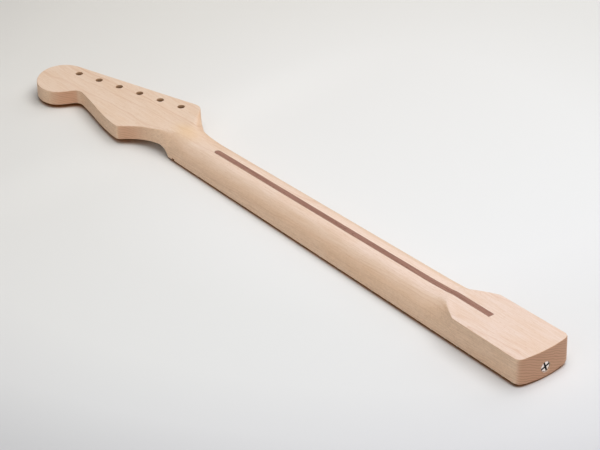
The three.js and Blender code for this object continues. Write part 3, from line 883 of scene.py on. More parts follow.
def plug_tree():
    """A round plug or drill at every point, along the point's own outward direction"""
    tree, sizes = new_tree("plug_row", [
        ("Radius", "Float"), ("Mouth Radius", "Float"), ("Cap Radius", "Float"), ("Depth", "Float"),
        ("Ease", "Float"), ("Rise", "Float"), ("Sides", "Int"), ("Material", "Material"),
    ])
    blank = add(tree, "GeometryNodeMeshCylinder", {
        "Vertices": sizes["Sides"], "Side Segments": PLUG_STRETCHES, "Radius": 1.0, "Depth": PLUG_STRETCHES,
    })
    spot = add(tree, "ShaderNodeSeparateXYZ", {0: add(tree, "GeometryNodeInputPosition")}).outputs
    level = add(tree, "ShaderNodeMath", {0: spot["Z"], 1: PLUG_STRETCHES / 2}, operation="ADD")
    floor, mouth_start = (
        add(tree, "ShaderNodeMath", {0: sizes[name], 1: -1.0}, operation="MULTIPLY")
        for name in ("Depth", "Ease")
    )
    profile = []
    for values in (
        (sizes["Radius"], sizes["Radius"], sizes["Mouth Radius"], sizes["Cap Radius"]),
        (floor, mouth_start, 0.0, sizes["Rise"]),
    ):
        chosen = add(tree, "GeometryNodeIndexSwitch", data_type="FLOAT")
        while len(chosen.index_switch_items) < len(values):
            chosen.index_switch_items.new()
        feed(tree, chosen, dict(enumerate((level, *values))))
        profile.append(chosen)
    radius, height = profile
    shaped = add(tree, "GeometryNodeSetPosition", {0: blank, "Position": add(tree, "ShaderNodeCombineXYZ", {
        0: add(tree, "ShaderNodeMath", {0: spot["X"], 1: radius}, operation="MULTIPLY"),
        1: add(tree, "ShaderNodeMath", {0: spot["Y"], 1: radius}, operation="MULTIPLY"),
        2: height,
    })})
    outward = add(tree, "GeometryNodeInputNamedAttribute", {"Name": "outward"}, data_type="FLOAT_VECTOR")
    row = add(tree, "GeometryNodeInstanceOnPoints", {
        "Points": add(tree, "GeometryNodeMeshToPoints", {0: sizes["Geometry"]}), "Instance": shaped,
        "Rotation": add(tree, "FunctionNodeAlignRotationToVector", {"Vector": outward}, axis="Z"),
    })
    end_tree(tree, row, sizes["Material"])
    return tree


def fret_bars(name, tree, profile, material, overhang=0.0, bevel_length=1.0, bevel_share=1.0):
    count = len(profile)
    outline = bpy.data.meshes.new(name)
    outline.from_pydata([(x, y, 0) for x, y in profile], [(i, (i + 1) % count) for i in range(count)], [])
    return run_tree(
        linked(name, outline), tree, count=FRET_COUNT, scale_length=float(SCALE_LENGTH),
        frets_per_octave=float(FRETS_PER_OCTAVE), nut_reach=NUT_REACH, board_radius=float(BOARD_RADIUS),
        heel_half_width=HEEL_WIDTH / 2 + overhang, nut_half_width=NUT_WIDTH / 2 + overhang,
        bevel_length=bevel_length, bevel_share=bevel_share, material=material,
    )


def plugs(name, tree, points, outward, radius, depth, material, ease=0.0, mouth=None, cap=None, rise=0.0):
    """Plugs or drills at drawing points, which narrow or widen to the mouth and then to the cap"""
    mesh = bpy.data.meshes.new(name)
    mesh.from_pydata([tuple(p) for p in points], [], [])
    mesh.attributes.new("outward", "FLOAT_VECTOR", "POINT").data.foreach_set("vector", np.ravel(outward))
    mouth = mouth or radius
    return run_tree(
        linked(name, mesh), tree, sides=PLUG_SIDES, radius=float(radius), mouth_radius=float(mouth),
        cap_radius=float(cap or mouth), depth=float(depth), ease=float(ease), rise=float(rise),
        material=material,
    )


# Materials

def new_material(name):
    material = bpy.data.materials.new(name)
    material.use_nodes = True
    tree = material.node_tree
    return material, tree, tree.nodes["Principled BSDF"]


def graded(node, stops):
    """Sets a colour ramp's stops from (place, colour or grey) pairs"""
    elements = node.color_ramp.elements
    while len(elements) < len(stops):
        elements.new(0.5)
    for element, (at, value) in zip(elements, stops):
        element.position = at
        element.color = colour(value) if isinstance(value, str) else (value, value, value, 1)
    return node


def drawing_place(tree):
    """Object coordinates as the drawing's millimetres"""
    return add(tree, "ShaderNodeVectorMath", {
        0: add(tree, "ShaderNodeTexCoord").outputs["Object"], 1: (1 / MM,) * 3,
        2: (-HEEL_SEAT_LENGTH / 2, 0, HEEL_THICKNESS),
    }, operation="MULTIPLY_ADD")


def stretched(tree, where, lengths):
    """Place measured in features of the given lengths in millimetres along X, Y and Z"""
    shares = tuple(1 / length for length in lengths)
    return add(tree, "ShaderNodeVectorMath", {0: where, 1: shares}, operation="MULTIPLY")


# Kinds of noise, and the values between which they mostly stay
SOFT_NOISE = {"Scale": 1.0, "Detail": 1.0}
CLOUD_NOISE = {"Scale": 1.0, "Detail": 2.0}
LAYERED_NOISE = {"Scale": 1.0, "Detail": 3.0}
STREAKY_NOISE = {"Scale": 1.0, "Detail": 3.0, "Roughness": 0.6}
SPECKLED_NOISE = {"Scale": 1.0, "Detail": 2.0, "Roughness": 0.7}
NOISE_SPAN = {"From Min": 0.3, "From Max": 0.7}

# How matt each surface is, and how deep its grain or its scratches are
BARE_WOOD_SHINE = 0.3
MAPLE_ROUGHNESS = 0.62
MAPLE_BUMP = {"Strength": 0.25, "Distance": 0.03 * MM}
WALNUT_ROUGHNESS = 0.6
WALNUT_BUMP = {"Strength": 0.3, "Distance": 0.05 * MM}
SCRATCH_BUMP = {"Strength": 0.2, "Distance": 0.01 * MM}

# Growth rings of the maple blank. Real rings are 1 to 3 mm apart.
RING_PITCH = 2.3
RING_TILT = math.radians(22)
PITH_DISTANCE = 190
GRAIN_RUNOUT_Y = -0.085
GRAIN_RUNOUT_Z = -0.012
RING_WANDER = (0, 12, 12)
RING_WANDER_LENGTHS = (95, 45, 45)
RING_RIPPLE = (0, 2.2, 2.2)
RING_RIPPLE_LENGTHS = (60, 7, 7)
# Darkness through a year's growth. A ring's random strength, from the first value up, is drawn from the
# second up: every ring shows on wood cut across the grain, and only the stronger ones along it.
SEASON_STOPS = ((0, 0.5), (0.15, 0.08), (0.55, 0.0), (0.88, 0.7), (1, 1.0))
END_RING_RANGE = (0.0, 0.4)
LONG_RING_RANGE = (0.45, 0.0)

# Tones of its flat faces from the headstock's tip to the heel, with painted light falloff along the neck, and
# of its other faces from upright to flat, with painted shading by how they face
FLAT_FACE_TONES_AND_FALLOFF = ((0.25, "#e9d0bb"), (0.4, "#f1d9c8"), (0.8, "#f3dbcd"), (0.88, "#ebd4c7"))
CURVED_FACE_TONES_AND_SHADING = ((0.15, "#fcdbbd"), (0.7, "#eac9ad"), (0.9, "#e9ceb8"))
FLAT_FACING = (0.88, 0.98)
MOTTLE_LENGTHS = (70, 18, 18)
MOTTLE_TONES = ((0.32, "#fcf7f1"), (0.5, "#ffffff"), (0.68, "#fffdfb"))

# Marks along the grain: fibres, pores, and a warm yellow patch where the back ramps up to the headstock,
# partly painted shading of that slope and partly its grain running out
FIBRE_LENGTHS = (22, 0.8, 0.8)
FIBRE_STOPS = ((0.35, 0.42), (0.6, 0.0))
PORE_LENGTHS = (3.5, 0.5, 0.5)
PORE_STOPS = ((0.6, 0.0), (0.72, 0.35))
RAMP_PATCH_CENTRE = (-470, -2, 24)
RAMP_PATCH_REACH = (19, 12, 40)
RAMP_PATCH_FADE = (1.25, 0.1)
RAMP_PATCH_SHARE = 0.42
# Ray fleck on faces cut along the rays. Real flecks are under 1 mm high, drawn coarser so that they show.
FLECK_LENGTHS = (2.6, 2.6, 1.5)
FLECK_STOPS = ((0.42, 0.0), (0.62, 1.0))
FLECK_FACING = (0.95, 0.5)
FLECK_SHARE = 0.22
MAPLE_MARKS = {
    "fibre": "#d8b594", "pore": "#c99f7a", "ring": "#cb9b78", "fleck": "#d0a884", "ramp_patch": "#e6c08e",
}
LONG_RING_SHARE = 0.48

# Wood cut across the grain, and how far a face has to lean towards the neck's ends to show it
END_GRAIN_TONES = ("#dcac8c", "#a0694a")
END_RING_SHARE = 0.64
END_GRAIN_LEAN = 0.6
END_GRAIN_FACING = (0.25, 0.95)

# The bores are painted browner the deeper they go, from either face: painted shade inside the holes
BORE_SHADE_DEPTH = 5
BORE_SHADE_TONES = ((0.1, "#e6c19d"), (0.4, "#c39a76"), (0.8, "#6a4935"))
BORE_SKIN = (0.12, 0.02)


def in_bores(tree, where):
    """How far a place is inside a tuner hole, from 0 to 1, and the painted shade that darkens it deeper in"""
    first, last = np.array(on_head(*FIRST_TUNER_SHARES)), np.array(on_head(*LAST_TUNER_SHARES))
    step = (last - first) / (TUNER_COUNT - 1)
    pitch = float(np.hypot(*step))
    row = add(tree, "ShaderNodeMapping", {
        0: where, "Location": (*first, HEAD_FRONT_HEIGHT + HEAD_THICKNESS / 2),
        "Rotation": (0, 0, math.atan2(step[1], step[0])), "Scale": (pitch, 1, 1),
    }, vector_type="TEXTURE")
    along, beside, height = add(tree, "ShaderNodeSeparateXYZ", {0: row}).outputs
    nearest = add(tree, "ShaderNodeClamp", {
        0: add(tree, "ShaderNodeMath", {0: along}, operation="ROUND"), "Max": TUNER_COUNT - 1,
    })
    offset = add(tree, "ShaderNodeMath", {0: along, 1: nearest}, operation="SUBTRACT")
    from_axis = add(tree, "ShaderNodeVectorMath", {0: add(tree, "ShaderNodeCombineXYZ", {
        0: add(tree, "ShaderNodeMath", {0: offset, 1: pitch}, operation="MULTIPLY"), 1: beside,
    })}, operation="LENGTH").outputs["Value"]
    inside = add(tree, "ShaderNodeMapRange", {
        "Value": from_axis,
        "From Min": TUNER_HOLE_RADIUS + BORE_SKIN[0], "From Max": TUNER_HOLE_RADIUS + BORE_SKIN[1],
    })
    # Painted shade, browner with depth from either face
    depth = add(tree, "ShaderNodeMapRange", {
        "Value": add(tree, "ShaderNodeMath", {0: height}, operation="ABSOLUTE"),
        "From Min": HEAD_THICKNESS / 2, "From Max": HEAD_THICKNESS / 2 - BORE_SHADE_DEPTH,
    })
    return inside, graded(add(tree, "ShaderNodeValToRGB", {0: depth}), BORE_SHADE_TONES)


def growth_rings(tree, where):
    """Growth rings as a place shows them when it is cut across the grain and along it"""
    warp = add(tree, "ShaderNodeTexNoise", {
        "Vector": stretched(tree, where, RING_WANDER_LENGTHS), **LAYERED_NOISE,
    })
    ripple = add(tree, "ShaderNodeTexNoise", {
        "Vector": stretched(tree, where, RING_RIPPLE_LENGTHS), **SOFT_NOISE,
    })
    moved = where
    for noise, reach in ((ripple, RING_RIPPLE), (warp, RING_WANDER)):
        moved = add(tree, "ShaderNodeVectorMath", {
            0: noise.outputs["Color"], 1: reach, 2: moved,
        }, operation="MULTIPLY_ADD")
    pith = (0, -PITH_DISTANCE * math.sin(RING_TILT), -PITH_DISTANCE * math.cos(RING_TILT))
    from_pith = add(tree, "ShaderNodeSeparateXYZ", {
        0: add(tree, "ShaderNodeVectorMath", {0: moved, 1: pith}, operation="SUBTRACT"),
    }).outputs
    side, rise = (
        add(tree, "ShaderNodeMath", {
            0: from_pith["X"], 1: runout, 2: from_pith[axis],
        }, operation="MULTIPLY_ADD")
        for runout, axis in ((GRAIN_RUNOUT_Y, "Y"), (GRAIN_RUNOUT_Z, "Z"))
    )
    reach = add(tree, "ShaderNodeVectorMath", {
        0: add(tree, "ShaderNodeCombineXYZ", {0: side, 1: rise}),
    }, operation="LENGTH").outputs["Value"]
    years = add(tree, "ShaderNodeMath", {0: reach, 1: 1 / RING_PITCH}, operation="MULTIPLY")
    year = add(tree, "ShaderNodeMath", {0: years}, operation="FLOOR")
    strength = add(tree, "ShaderNodeTexWhiteNoise", {"W": year}, noise_dimensions="1D").outputs["Value"]
    season = graded(add(tree, "ShaderNodeValToRGB", {
        0: add(tree, "ShaderNodeMath", {0: years}, operation="FRACT"),
    }), SEASON_STOPS)
    return [
        add(tree, "ShaderNodeMath", {0: season, 1: add(tree, "ShaderNodeMapRange", {
            "Value": strength, "From Min": faintest, "To Min": least,
        })}, operation="MULTIPLY")
        for faintest, least in (END_RING_RANGE, LONG_RING_RANGE)
    ]


def maple_tone_and_painted_light(tree, where, upright):
    """Colour of the plain wood with painted light in it: painted shading by how flat a face lies, and painted
    light falloff by its place along the neck
    """
    # Painted shading by facing and painted light falloff along the neck, over the wood's own tone
    along = add(tree, "ShaderNodeMapRange", {
        "Value": add(tree, "ShaderNodeSeparateXYZ", {0: where}), "From Min": HEAD_TIP_X, "From Max": 0.0,
    })
    flatness = add(tree, "ShaderNodeMapRange", {
        "Value": upright, "From Min": FLAT_FACING[0], "From Max": FLAT_FACING[1],
    }, interpolation_type="SMOOTHSTEP")
    tone = add(tree, "ShaderNodeMix", {
        0: flatness, 6: graded(add(tree, "ShaderNodeValToRGB", {0: upright}), CURVED_FACE_TONES_AND_SHADING),
        7: graded(add(tree, "ShaderNodeValToRGB", {0: along}), FLAT_FACE_TONES_AND_FALLOFF),
    }, data_type="RGBA")
    cloud = graded(add(tree, "ShaderNodeValToRGB", {0: add(tree, "ShaderNodeTexNoise", {
        "Vector": stretched(tree, where, MOTTLE_LENGTHS), **CLOUD_NOISE,
    })}), MOTTLE_TONES)
    return add(tree, "ShaderNodeMix", {
        0: 1.0, 6: tone.outputs[2], 7: cloud,
    }, data_type="RGBA", blend_type="MULTIPLY").outputs[2]


def bare_maple():
    """Hard maple, planed and sanded with no finish: pale, matt and close-grained. Growth rings show as thin
    tan lines, and wood cut across the grain looks darker and redder because it scatters less light back."""
    material, tree, surface = new_material("bare_sanded_maple")
    where = drawing_place(tree)
    facing = add(tree, "ShaderNodeSeparateXYZ", {0: add(tree, "ShaderNodeVectorMath", {
        0: add(tree, "ShaderNodeTexCoord").outputs["Normal"],
    }, operation="ABSOLUTE")}).outputs
    end_ring, ring = growth_rings(tree, where)
    fibre = add(tree, "ShaderNodeTexNoise", {
        "Vector": stretched(tree, where, FIBRE_LENGTHS), **STREAKY_NOISE,
    })
    fibre_lines = graded(add(tree, "ShaderNodeValToRGB", {0: fibre}), FIBRE_STOPS)
    pores = graded(add(tree, "ShaderNodeValToRGB", {0: add(tree, "ShaderNodeTexNoise", {
        "Vector": stretched(tree, where, PORE_LENGTHS), **SOFT_NOISE,
    })}), PORE_STOPS)
    fleck = graded(add(tree, "ShaderNodeValToRGB", {0: add(tree, "ShaderNodeTexNoise", {
        "Vector": stretched(tree, where, FLECK_LENGTHS), **SPECKLED_NOISE,
    })}), FLECK_STOPS)
    fleck_share = add(tree, "ShaderNodeMapRange", {
        "Value": facing["Z"], "From Min": FLECK_FACING[0], "From Max": FLECK_FACING[1],
        "To Min": 0.0, "To Max": FLECK_SHARE,
    })
    # Warm patch on the ramp behind the nut: partly painted shading of the slope, partly grain running out
    spot = add(tree, "ShaderNodeVectorMath", {0: where, 1: RAMP_PATCH_CENTRE}, operation="SUBTRACT")
    spot_distance = add(tree, "ShaderNodeVectorMath", {
        0: stretched(tree, spot, RAMP_PATCH_REACH),
    }, operation="LENGTH").outputs["Value"]
    ramp_patch = add(tree, "ShaderNodeMapRange", {
        "Value": spot_distance, "From Min": RAMP_PATCH_FADE[0], "From Max": RAMP_PATCH_FADE[1],
        "To Max": RAMP_PATCH_SHARE,
    }, interpolation_type="SMOOTHSTEP")

    # Each mark darkens the wood in its turn
    long_grain = maple_tone_and_painted_light(tree, where, facing["Z"])
    for mark, factor, share in (
        ("fibre", fibre_lines, 1.0), ("pore", pores, 1.0), ("ring", ring, LONG_RING_SHARE),
        ("fleck", fleck, fleck_share), ("ramp_patch", ramp_patch, 1.0),
    ):
        long_grain = add(tree, "ShaderNodeMix", {
            0: add(tree, "ShaderNodeMath", {0: factor, 1: share}, operation="MULTIPLY"),
            6: long_grain, 7: colour(MAPLE_MARKS[mark]),
        }, data_type="RGBA").outputs[2]
    end_grain = add(tree, "ShaderNodeMix", {
        0: add(tree, "ShaderNodeMath", {0: end_ring, 1: END_RING_SHARE}, operation="MULTIPLY"),
        6: colour(END_GRAIN_TONES[0]), 7: colour(END_GRAIN_TONES[1]),
    }, data_type="RGBA")
    lean = add(tree, "ShaderNodeMath", {
        0: facing["Z"], 1: -END_GRAIN_LEAN, 2: facing["X"],
    }, operation="MULTIPLY_ADD")
    across_grain = add(tree, "ShaderNodeMapRange", {
        "Value": lean, "From Min": END_GRAIN_FACING[0], "From Max": END_GRAIN_FACING[1],
    }, interpolation_type="SMOOTHSTEP")
    sawn = add(tree, "ShaderNodeMix", {
        0: across_grain, 6: long_grain, 7: end_grain.outputs[2],
    }, data_type="RGBA")
    # Painted shade inside the tuner holes
    inside, bore_shade = in_bores(tree, where)
    wood = add(tree, "ShaderNodeMix", {0: inside, 6: sawn.outputs[2], 7: bore_shade}, data_type="RGBA")
    feed(tree, surface, {
        "Base Color": wood.outputs[2], "Roughness": MAPLE_ROUGHNESS, "Specular IOR Level": BARE_WOOD_SHINE,
        "Normal": add(tree, "ShaderNodeBump", {**MAPLE_BUMP, "Height": fibre}),
    })
    return material


WALNUT_STREAK_LENGTHS = (45, 1.6, 1.6)
WALNUT_TONES = ((0.3, "#8e6656"), (0.5, "#9b7263"), (0.7, "#aa826f"))
WALNUT_PORE_LENGTHS = (5, 0.55, 0.55)
WALNUT_PORE_STOPS = ((0.56, 0.0), (0.66, 0.6))
WALNUT_PORE_TONE = "#5f3d31"


def bare_walnut():
    """Black walnut strip, sanded flush and bare: brown with open pores that show as short dark dashes"""
    material, tree, surface = new_material("bare_sanded_walnut")
    where = drawing_place(tree)
    streak = graded(add(tree, "ShaderNodeValToRGB", {0: add(tree, "ShaderNodeTexNoise", {
        "Vector": stretched(tree, where, WALNUT_STREAK_LENGTHS), **STREAKY_NOISE,
    })}), WALNUT_TONES)
    pores = add(tree, "ShaderNodeTexNoise", {
        "Vector": stretched(tree, where, WALNUT_PORE_LENGTHS), **SPECKLED_NOISE,
    })
    wood = add(tree, "ShaderNodeMix", {
        0: graded(add(tree, "ShaderNodeValToRGB", {0: pores}), WALNUT_PORE_STOPS),
        6: streak, 7: colour(WALNUT_PORE_TONE),
    }, data_type="RGBA")
    feed(tree, surface, {
        "Base Color": wood.outputs[2], "Roughness": WALNUT_ROUGHNESS, "Specular IOR Level": BARE_WOOD_SHINE,
        "Normal": add(tree, "ShaderNodeBump", {**WALNUT_BUMP, "Height": pores}),
    })
    return material


# Fret wire is rolled, so its scratches run across the neck. Turned steel is marked evenly all round.
FRET_WIRE = {
    "name": "nickel_silver_fret_wire", "tone": "#d5d1c6", "roughness": 0.22,
    "scratch_lengths": (0.4, 6, 0.4), "scratch_share": 0.35,
}
TURNED_STEEL = {
    "name": "turned_steel", "tone": "#c9c6c2", "roughness": 0.3,
    "scratch_lengths": (0.5, 0.5, 0.5), "scratch_share": 0.3,
}


def metal(name, tone, roughness, scratch_lengths, scratch_share):
    """Bare bright metal, whose fine scratches break up what it mirrors"""
    material, tree, surface = new_material(name)
    scratches = add(tree, "ShaderNodeTexNoise", {
        "Vector": stretched(tree, drawing_place(tree), scratch_lengths), **STREAKY_NOISE,
    })
    feed(tree, surface, {
        "Base Color": colour(tone), "Metallic": 1, "Roughness": add(tree, "ShaderNodeMapRange", {
            "Value": scratches, **NOISE_SPAN,
            "To Min": roughness * (1 - scratch_share), "To Max": roughness * (1 + scratch_share),
        }),
        "Normal": add(tree, "ShaderNodeBump", {**SCRATCH_BUMP, "Height": scratches}),
    })
    return material


# Grains of the plating, and the near-black colour of the nut's slots, which reaches a little over their edges
PLATING_GRAIN = 0.4
PLATING_ROUGHNESS = {"To Min": 0.28, "To Max": 0.44}
PLATING_TONE = "#f8eee7"
SLOT_BLACK_TONE = "#120f0d"
SLOT_BLACK_SPREAD = 0.45


def plated_steel():
    """Zinc-plated steel nut: a bright satin face, with its slots coloured near black"""
    material, tree, surface = new_material("bright_zinc_plated_steel")
    where = drawing_place(tree)
    grain = add(tree, "ShaderNodeTexNoise", {
        "Vector": stretched(tree, where, (PLATING_GRAIN,) * 3), **STREAKY_NOISE,
    })
    turned_place = add(tree, "ShaderNodeMapping", {
        0: where, "Location": tuple(NUT_FACE), "Rotation": (TRUSS_NUT_TURN, 0, 0),
    }, vector_type="TEXTURE")
    _, across, upright = add(tree, "ShaderNodeSeparateXYZ", {
        0: add(tree, "ShaderNodeVectorMath", {0: turned_place}, operation="ABSOLUTE"),
    }).outputs
    # Near black in the slots and in a thin band past their edges
    in_slot = add(tree, "ShaderNodeMapRange", {
        "Value": add(tree, "ShaderNodeMath", {0: across, 1: upright}, operation="MINIMUM"),
        "From Min": TRUSS_SLOT_WIDTH / 2 + SLOT_BLACK_SPREAD, "From Max": TRUSS_SLOT_WIDTH / 2,
    })
    tone = add(tree, "ShaderNodeMix", {
        0: in_slot, 6: colour(PLATING_TONE), 7: colour(SLOT_BLACK_TONE),
    }, data_type="RGBA")
    feed(tree, surface, {
        "Base Color": tone.outputs[2], "Metallic": 1, "Roughness": add(tree, "ShaderNodeMapRange", {
            "Value": grain, **NOISE_SPAN, **PLATING_ROUGHNESS,
        }),
        "Normal": add(tree, "ShaderNodeBump", {**SCRATCH_BUMP, "Height": grain}),
    })
    return material


SANDING_LENGTHS = (6, 0.3, 0.3)
PLASTIC_TONES = ((0.3, "#171615"), (0.7, "#242220"))
PLASTIC_ROUGHNESS = {"To Min": 0.3, "To Max": 0.42}
PLASTIC_IOR = 1.54


def black_plastic():
    """Moulded black ABS, levelled with the wood: dull black with fine sanding marks along the neck"""
    material, tree, surface = new_material("black_abs_inlay")
    marks = add(tree, "ShaderNodeTexNoise", {
        "Vector": stretched(tree, drawing_place(tree), SANDING_LENGTHS), **LAYERED_NOISE,
    })
    feed(tree, surface, {
        "Base Color": graded(add(tree, "ShaderNodeValToRGB", {0: marks}), PLASTIC_TONES),
        "Roughness": add(tree, "ShaderNodeMapRange", {
            "Value": marks, **NOISE_SPAN, **PLASTIC_ROUGHNESS,
        }),
        "IOR": PLASTIC_IOR,
    })
    return material


# Pieces

# Fineness of the channel, the frets and the turned parts
ROD_STEPS = 60
CHANNEL_END_STEPS = 14
CHANNEL_TIP_SHARE = 0.2
FRET_CROWN_POINTS = 11
ROD_SIDES = 24
SLEEVE_SIDES = 64
TRUSS_NUT_SIDES = 96


def on_head_line(x):
    return np.array((x, 0, ROD_HEAD_HEIGHT - (CHANNEL_HEAD_X - x) * HEAD_SLOPE))


def rod_bend():
    """Bent stretch of the rod in its channel, as a cubic curve"""
    third = (CHANNEL_HEEL_X - CHANNEL_HEAD_X) / 3
    a = np.array((CHANNEL_HEEL_X, 0, ROD_HEEL_HEIGHT))
    b = np.array((CHANNEL_HEEL_X - third, 0, ROD_HEEL_HEIGHT))
    c = on_head_line(CHANNEL_HEAD_X + third)
    d = on_head_line(CHANNEL_HEAD_X)
    t = np.linspace(0, 1, ROD_STEPS)[:, None]
    return a * (1 - t) ** 3 + 3 * b * (1 - t) ** 2 * t + 3 * c * (1 - t) * t ** 2 + d * t ** 3


def channel(name, above_rod):
    """Slot along the back, square at the heel and round at the head, above a line that follows the rod"""
    half = CHANNEL_WIDTH / 2
    bend = rod_bend()
    turns = np.linspace(0, math.pi / 2, CHANNEL_END_STEPS)
    round_x = CHANNEL_HEAD_X + half - half * np.sin(turns)
    straight = np.linspace(CHANNEL_HEEL_X, CHANNEL_HEAD_X + half, ROD_STEPS, endpoint=False)
    places = np.concatenate([straight, round_x])
    halves = np.concatenate([np.full(ROD_STEPS, half), half * np.cos(turns)])
    halves[-1] = half * math.cos(turns[-2]) * CHANNEL_TIP_SHARE
    floor = np.interp(places, bend[::-1, 0], bend[::-1, 2]) + above_rod
    top = HEEL_THICKNESS + OVERRUN
    rings = [
        np.array([(x, -h, low), (x, h, low), (x, h, top), (x, -h, top)])
        for x, h, low in zip(places, halves, floor)
    ]
    return loft(name, rings)


def bar(name, start, direction, length, radius):
    return turned(name, [(radius, 0), (radius, length)], start, direction, DRILL_SIDES)


def box(name, low, high):
    rings = [
        np.array([(x, low[1], low[2]), (x, high[1], low[2]), (x, high[1], high[2]), (x, low[1], high[2])])
        for x in (low[0], high[0])
    ]
    return loft(name, rings)


def anchor_drill(name, start_x):
    length = SCOOP_FROM_NUT + OVERRUN + start_x - NUT_X
    return bar(name, on_head_line(start_x), TOWARDS_HEAD, length, ANCHOR_RADIUS + ANCHOR_HOLE_GAP)


def board_point(x, y):
    """Point on the board's face and its outward direction"""
    angle = math.asin(y / BOARD_RADIUS)
    outward = (0, math.sin(angle), -math.cos(angle))
    return (x, BOARD_RADIUS * outward[1], BOARD_RADIUS + BOARD_RADIUS * outward[2]), outward


def dot_kinds():
    """Dots in the board's face and in its bass side: name, centres, outward directions, radius and depth"""
    singles = [(fret, 0) for fret in SINGLE_DOT_FRETS]
    face, side = [], []
    for fret, which in [*singles, (FRETS_PER_OCTAVE, 1), (FRETS_PER_OCTAVE, -1)]:
        x = (fret_x(fret - 1) + fret_x(fret)) / 2
        face.append(board_point(x, which * TWELFTH_DOT_SPREAD / 2))
        x += which * SIDE_DOT_PAIR / 2
        edge = taper_half(x)
        side.append(((x, edge, float(board_height(edge)) + SIDE_DOT_DROP), (0, 1, 0)))
    return [
        ("face", *zip(*face), FACE_DOT_RADIUS, FACE_DOT_DEPTH),
        ("side", *zip(*side), SIDE_DOT_RADIUS, SIDE_DOT_DEPTH),
    ]


def fret_profile():
    turns = np.linspace(math.pi, 0, FRET_CROWN_POINTS)
    crown = [(FRET_CROWN_WIDTH / 2 * math.cos(a), FRET_CROWN_HEIGHT * math.sin(a)) for a in turns]
    half = TANG_WIDTH / 2
    return [(-half, -TANG_DEPTH), (-half, 0), *crown, (half, 0), (half, -TANG_DEPTH)]


def slot_profile():
    half = TANG_WIDTH / 2 + TANG_SLACK
    floor = -TANG_DEPTH - TANG_FLOOR_GAP
    return [(-half, floor), (-half, OVERRUN), (half, OVERRUN), (half, floor)]


def drill_tuner_holes(form, row, wood):
    tuners = np.linspace(on_head(*FIRST_TUNER_SHARES), on_head(*LAST_TUNER_SHARES), TUNER_COUNT)
    for name, height, way in (("drills_back", HEAD_BACK_HEIGHT, 1), ("drills_front", HEAD_FRONT_HEIGHT, -1)):
        cut(form, plugs(
            name, row, [(x, y, height) for x, y in tuners], [(0, 0, way)] * TUNER_COUNT,
            TUNER_HOLE_RADIUS, HEAD_THICKNESS / 2 + way, wood,
            ease=HOLE_EDGE_EASE, mouth=TUNER_HOLE_RADIUS + HOLE_EDGE_EASE, rise=OVERRUN,
        ))


def cut_rod_space(form):
    """Slot of the string nut, channel and tunnels of the rod, and the holes of its nut and its anchor"""
    nut_half = NUT_WIDTH / 2 + OVERRUN
    bore_start = (OVERRUN, 0, ROD_HEEL_HEIGHT)
    tunnel_length = CHANNEL_HEEL_REACH + BORE_FLOOR[0] + OVERRUN
    channel_end = CHANNEL_HEAD_X + CHANNEL_WIDTH / 2
    cut(
        form,
        box("nut_slot", (NUT_X - NUT_SLOT_WIDTH, -nut_half, -OVERRUN), (NUT_X, nut_half, NUT_SLOT_DEPTH)),
        channel("channel_with_rod", -ROD_HOLE_RADIUS),
        bar("nut_bore", bore_start, TOWARDS_NUT, OVERRUN - BORE_FLOOR[0], TRUSS_NUT_RADIUS + NUT_HOLE_GAP),
        bar("heel_tunnel", BORE_FLOOR - TOWARDS_NUT, TOWARDS_NUT, tunnel_length, ROD_HOLE_RADIUS),
        bar("head_tunnel", on_head_line(channel_end), TOWARDS_HEAD,
            channel_end - ANCHOR_X + OVERRUN / 2, ROD_HOLE_RADIUS),
        anchor_drill("anchor_hole", ANCHOR_X),
    )


def make_neck(wood, walnut, plastic, nickel):
    """Neck blank, back stripe, plug, frets and both kinds of dots"""
    bars, row = fret_tree(), plug_tree()
    form = neck_form("neck_body")
    stripe = copy_of(form, "skunk_stripe")
    combine(stripe, channel("channel_above_rod", ROD_HOLE_RADIUS), "INTERSECT")
    plug = copy_of(form, "anchor_plug")
    combine(plug, anchor_drill("plug_space", ANCHOR_X - ANCHOR_LENGTH - PLUG_GAP), "INTERSECT")

    drill_tuner_holes(form, row, wood)
    dots = dot_kinds()
    for where, points, outward, radius, depth in dots:
        cut(form, plugs(
            where + "_pockets", row, points, outward, radius, depth, wood, ease=depth / 2, rise=OVERRUN,
        ))
    cut(form, fret_bars("fret_slots", bars, slot_profile(), wood, overhang=OVERRUN))
    cut_rod_space(form)
    finish_mesh(form, wood)
    finish_mesh(stripe, walnut)
    finish_mesh(plug, walnut)

    frets = finish_mesh(fret_bars(
        "fret_wires", bars, fret_profile(), nickel,
        bevel_length=FRET_BEVEL_LENGTH, bevel_share=FRET_BEVEL_SHARE,
    ), nickel)
    inlays = [
        finish_mesh(plugs(
            where + "_dots", row, points, outward, radius, depth, plastic, ease=depth / 2, cap=radius / 2,
        ), plastic)
        for where, points, outward, radius, depth in dots
    ]
    return form, stripe, plug, frets, *inlays


